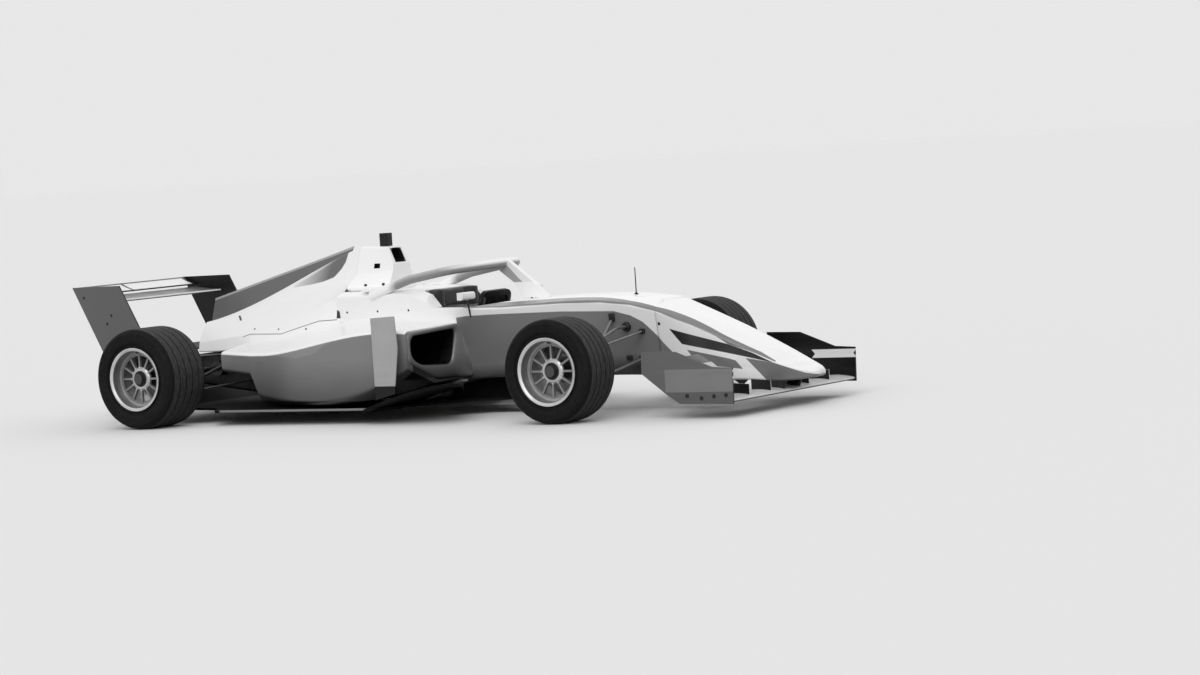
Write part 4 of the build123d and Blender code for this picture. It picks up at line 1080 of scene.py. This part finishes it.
def mouth(hand, side):
    """Lip that closes the pod's front down to a rounded inlet, with a short duct behind it."""
    centre = Vector(MOUTH_CENTRE)
    outer = around(rounded(MOUTH_OUTER, OUTER_ROUND), centre, MOUTH_STEPS)
    opening = around(rounded(MOUTH_OPENING, OPENING_ROUND), centre, MOUTH_STEPS)
    verts = []
    for share, depth in MOUTH_RINGS:
        for far, near in zip(outer, opening):
            at = far.lerp(near, share)
            blend = 0
            if depth > -0.010:
                blend = max(0.0, min(1.0, (BLEND_END - at.x) / BLEND_LENGTH)) * max(0.0, 1 - share * 3)
            front = MOUTH_X - MOUTH_SWEEP * (at.x - MOUTH_Y)
            verts.append((front + depth + BLEND_DEPTH * blend, side * at.x, at.y))
    faces = ring_faces(len(MOUTH_RINGS), MOUTH_STEPS)
    mesh_piece("inlet_mouth_" + hand, verts, faces, mouth_paint("mouth_paint_" + hand), "chassis",
               60)


for hand, side in SIDES.items():
    mouth(hand, side)


# Wheel fittings
VALVE_METAL = metal("valve_metal", 120, 0.4)
NUT_SINK = 0.020
NUT = [(0.034, 0), (0.034, 0.006), (0.030, 0.009), (0.030, 0.013), (0.022, 0.017), (0.016, 0.012)]
DRIVE_RING = [(0.042, -0.004), (0.042, 0.003), (0.037, 0.005), (0.030, 0.005)]
VALVE_DEPTH, VALVE_INSET = 0.058, 0.030
VALVE = [(0.006, 0), (0.006, 0.008), (0.0042, 0.010), (0.0042, 0.030), (0.003, 0.032)]


def wheel_fittings(name):
    """Centre nut with its drive ring, and the valve in the dish."""
    side = SIDES[name.split("_")[1]]
    axis, hub_half, _ = half_size("hub_" + name)
    outward = Vector((0, side, 0))
    nut = Shape()
    seat = facing(axis + outward * (hub_half - NUT_SINK), outward)
    nut.turned(seat, NUT, 6)
    nut.turned(seat, DRIVE_RING, 48)
    nut.made("centre_nut_" + name, metal("nut_alloy_" + name, 40, 0.4), "wheel_" + name, "rim_metal", 30)
    rim, rim_half, radius = half_size("rim_" + name)
    place = Vector((axis.x, rim.y + side * (rim_half - VALVE_DEPTH), axis.z + radius - VALVE_INSET))
    valve = Shape()
    valve.turned(facing(place, outward), VALVE, 12)
    valve.made("valve_" + name, VALVE_METAL, "wheel_" + name, "steel")


for wheel in WHEELS:
    wheel_fittings(wheel)


# Cockpit
PAD_START = 0.97
PAD_SWELL = 0.007
PAD_PRESSURE = 4.0
PAD_FRAMES = 20


def evaluated(piece):
    """New mesh of a piece with its modifiers applied."""
    return bpy.data.meshes.new_from_object(piece.evaluated_get(bpy.context.evaluated_depsgraph_get()))


def swollen(name, node, material, voxel):
    """Stuffed copy of a CAD pad: remeshed, blown up as cloth, held near its start, then smoothed."""
    mesh = NODES[node].data.copy()
    piece = linked(name, mesh)
    middle = sum((v.co for v in mesh.vertices), Vector()) / len(mesh.vertices)
    for vertex in mesh.vertices:
        vertex.co = middle + (vertex.co - middle) * PAD_START
    remesh = piece.modifiers.new("remesh", "REMESH")
    remesh.mode = "VOXEL"
    remesh.voxel_size = voxel
    start = evaluated(piece)
    piece.modifiers.clear()
    piece.data = start
    cloth = piece.modifiers.new("cloth", "CLOTH")
    cloth.settings.use_pressure = True
    cloth.settings.uniform_pressure_force = PAD_PRESSURE
    cloth.settings.effector_weights.gravity = 0
    scene = bpy.context.scene
    for step in range(1, PAD_FRAMES + 1):
        scene.frame_set(step)
    blown = evaluated(piece)
    scene.frame_set(1)
    piece.modifiers.clear()
    for vertex, rest in zip(blown.vertices, start.vertices):
        move = vertex.co - rest.co
        if move.length > PAD_SWELL:
            vertex.co = rest.co + move.normalized() * PAD_SWELL
    piece.data = blown
    piece.data.materials.clear()
    piece.data.materials.append(material)
    piece.data.shade_smooth()
    smooth = piece.modifiers.new("smooth", "SUBSURF")
    smooth.levels = smooth.render_levels = 1
    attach(piece, "chassis")
    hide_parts(node)


WEBBING = fabric("belt_webbing", 60, 0.003, 0.2)
BUCKLE = metal("buckle_steel", 165, 0.3)
BUCKLE_OUTLINE = [(0.032, 0), (0.034, 0.006), (0.032, 0.013), (0.014, 0.015), (0.012, 0.019)]
BELT_THICKNESS = 0.003
SHOULDER_WIDTH, LAP_WIDTH = 0.050, 0.045
# Belts run through (x, y, z) from the seat's rear, below its top or above its base
SHOULDER_TOP = [(0.042, 0.085, -0.010), (0.048, 0.082, -0.100)]
SHOULDER_LOW = [(0.065, 0.070, 0.270), (0.105, 0.045, 0.190), (0.155, 0.020, 0.165)]
LAP = [(0.115, 0.150, 0.150), (0.140, 0.100, 0.165), (0.160, 0.030, 0.170)]
BUCKLE_PLACE = Vector((0.165, 0, 0.170))


def harness():
    """Shoulder and lap belts lying on the seat, with their buckle."""
    low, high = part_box("seat")
    top, base = Vector((low.x, 0, high.z)), Vector((low.x, 0, low.z))

    def line(start, points, side):
        return [start + Vector((x, side * y, z)) for x, y, z in points]

    belts = Shape()
    for side in SIDES.values():
        shoulder = line(top, SHOULDER_TOP, side) + line(base, SHOULDER_LOW, side)
        belts.swept(shoulder, SHOULDER_WIDTH, BELT_THICKNESS, (0, 1, 0))
        belts.swept(line(base, LAP, side), LAP_WIDTH, BELT_THICKNESS, (0.7, 0, 0.7))
    belts.made("harness_belts", WEBBING, "chassis", "pad_fabric")
    buckle = Shape()
    buckle.turned(facing(base + BUCKLE_PLACE, (0.4, 0, 0.9)), BUCKLE_OUTLINE, 32)
    buckle.made("harness_buckle", BUCKLE, "chassis", "steel")


# Places on the steering wheel are (across, up, out of its face) from its centre
STEER_CENTRE = Vector((0.300, 0, 0.600))
COLUMN_TILT = math.radians(15)
STEER_BUTTONS = [(0.072, 0.026), (0.072, -0.026), (0.044, 0.044), (0.044, -0.044), (0.086, 0.0)]
STEER_DIAL = (0.026, -0.018)
STEER_FACE = 0.011
BUTTON = [(0.0085, 0), (0.0085, 0.004), (0.0062, 0.0045), (0.0062, 0.009), (0.0050, 0.010)]
DIAL = [(0.013, 0), (0.013, 0.007), (0.010, 0.010), (0.009, 0.010)]
GRIP = [(0.0145, -0.052), (0.0165, -0.046), (0.0172, -0.030), (0.0160, -0.014), (0.0172, 0.002),
        (0.0160, 0.018), (0.0172, 0.032), (0.0165, 0.046), (0.0145, 0.052)]
GRIP_SIDE = 0.1235
DISPLAY_PLACE, DISPLAY_SIZE = (0, 0.030, 0.0145), (0.090, 0.046, 0.008)


def wheel_controls():
    """Moulded grips, buttons, dials and a dark display on the driver's side of the steering wheel."""
    across = Vector((0, -1, 0))
    back = Vector((-math.cos(COLUMN_TILT), 0, math.sin(COLUMN_TILT)))
    axes = Matrix((across, back.cross(across), back)).transposed().to_4x4()

    def spot(*offset):
        return Matrix.Translation(STEER_CENTRE) @ axes @ Matrix.Translation(offset)

    panel = Shape()
    panel.block(spot(*DISPLAY_PLACE), DISPLAY_SIZE, 0.3)
    panel.made("steer_display", lens("display_glass"), "steering_wheel", "rain_lens")
    knobs, grips = Shape(), Shape()
    for side in SIDES.values():
        for x, y in STEER_BUTTONS:
            knobs.turned(spot(side * x, y, STEER_FACE), BUTTON, 20)
        knobs.turned(spot(side * STEER_DIAL[0], STEER_DIAL[1], STEER_FACE), DIAL, 12)
        grips.turned(spot(side * GRIP_SIDE, 0, 0) @ Matrix.Rotation(math.radians(90), 4, "X"), GRIP, 24)
    knobs.made("steer_buttons", plastic("button_plastic", 150, 0.4), "steering_wheel", "body_light")
    grips.made("steer_grips", fabric("grip_suede", 30, 0.0012, 0.5), "steering_wheel", "black_plastic", 60)


wheel_controls()
swollen("headrest_pad", "headrest", fabric("headrest_weave", 46), 0.006)
swollen("seat_pad", "seat", fabric("seat_weave", 40), 0.008)
harness()


# Studio
CAMERA_PLACE = Vector((11.3597, -15.4605, 1.4288))
CAMERA_YAW = math.radians(33.82)
CAMERA_PITCH = math.radians(3.174)
CAMERA_ROLL = math.radians(-3.740)
CAMERA_LENS = 101.33
AMBIENT, BACKDROP = 0.66, 0.80
# Lamps are name, direction, spread in degrees and strength
LAMPS = (("key", (0.35, -0.80, 0.60), 45, 1.30), ("back", (-0.40, 0.80, 0.70), 60, 0.25))
FLOOR_REACH = 400.0
FLOOR_SEEN, FLOOR_BOUNCED = 0.83, 0.32


def camera():
    """The photograph's viewpoint, with its slight roll."""
    data = bpy.data.cameras.new("camera")
    data.sensor_width = 36
    data.lens = CAMERA_LENS
    data.clip_end = 1000
    made = linked("camera", data)
    made.matrix_world = Matrix.Translation(CAMERA_PLACE)
    for angle, axis in ((CAMERA_YAW, "Z"), (math.pi / 2 - CAMERA_PITCH, "X"), (CAMERA_ROLL, "Z")):
        made.matrix_world = made.matrix_world @ Matrix.Rotation(angle, 4, axis)
    bpy.context.scene.camera = made


def seen_directly(tree):
    """1 for camera, glossy and transmission rays."""
    path = tree.nodes.new("ShaderNodeLightPath")
    total = path.outputs["Is Camera Ray"]
    for kind in ("Is Glossy Ray", "Is Transmission Ray"):
        step = tree.nodes.new("ShaderNodeMath")
        step.operation = "MAXIMUM"
        tree.links.new(total, step.inputs[0])
        tree.links.new(path.outputs[kind], step.inputs[1])
        total = step.outputs[0]
    return total


def studio():
    """Even white surroundings, with a broad soft key from the camera's side and a weak one from behind."""
    world = bpy.data.worlds.new("studio")
    bpy.context.scene.world = world
    world.use_nodes = True
    tree = world.node_tree
    background = tree.nodes["Background"]
    background.inputs["Color"].default_value = (1, 1, 1, 1)
    level = tree.nodes.new("ShaderNodeMapRange")
    level.inputs["To Min"].default_value = AMBIENT
    level.inputs["To Max"].default_value = BACKDROP
    tree.links.new(seen_directly(tree), level.inputs["Value"])
    tree.links.new(level.outputs[0], background.inputs["Strength"])
    for name, towards, spread, strength in LAMPS:
        lamp = bpy.data.lights.new(name, "SUN")
        lamp.energy = strength
        lamp.angle = math.radians(spread)
        linked(name, lamp).rotation_euler = Vector(towards).to_track_quat("Z", "Y").to_euler()


def floor():
    """Pale floor that throws back less light than it shows."""
    graph = Graph("studio_floor", 0.9, shine=0.1)
    bounced, seen = ((share, share, share, 1) for share in (FLOOR_BOUNCED, FLOOR_SEEN))
    mesh = bpy.data.meshes.new("studio_floor")
    corners = [(x * FLOOR_REACH, y * FLOOR_REACH, 0) for x, y in ((-1, -1), (1, -1), (1, 1), (-1, 1))]
    mesh.from_pydata(corners, [], [(0, 1, 2, 3)])
    mesh.materials.append(graph.colour(graph.mix(seen_directly(graph.tree), bounced, seen)))
    piece = linked("studio_floor", mesh)


camera()
studio()
floor()
bpy.context.scene.view_settings.view_transform = "Standard"
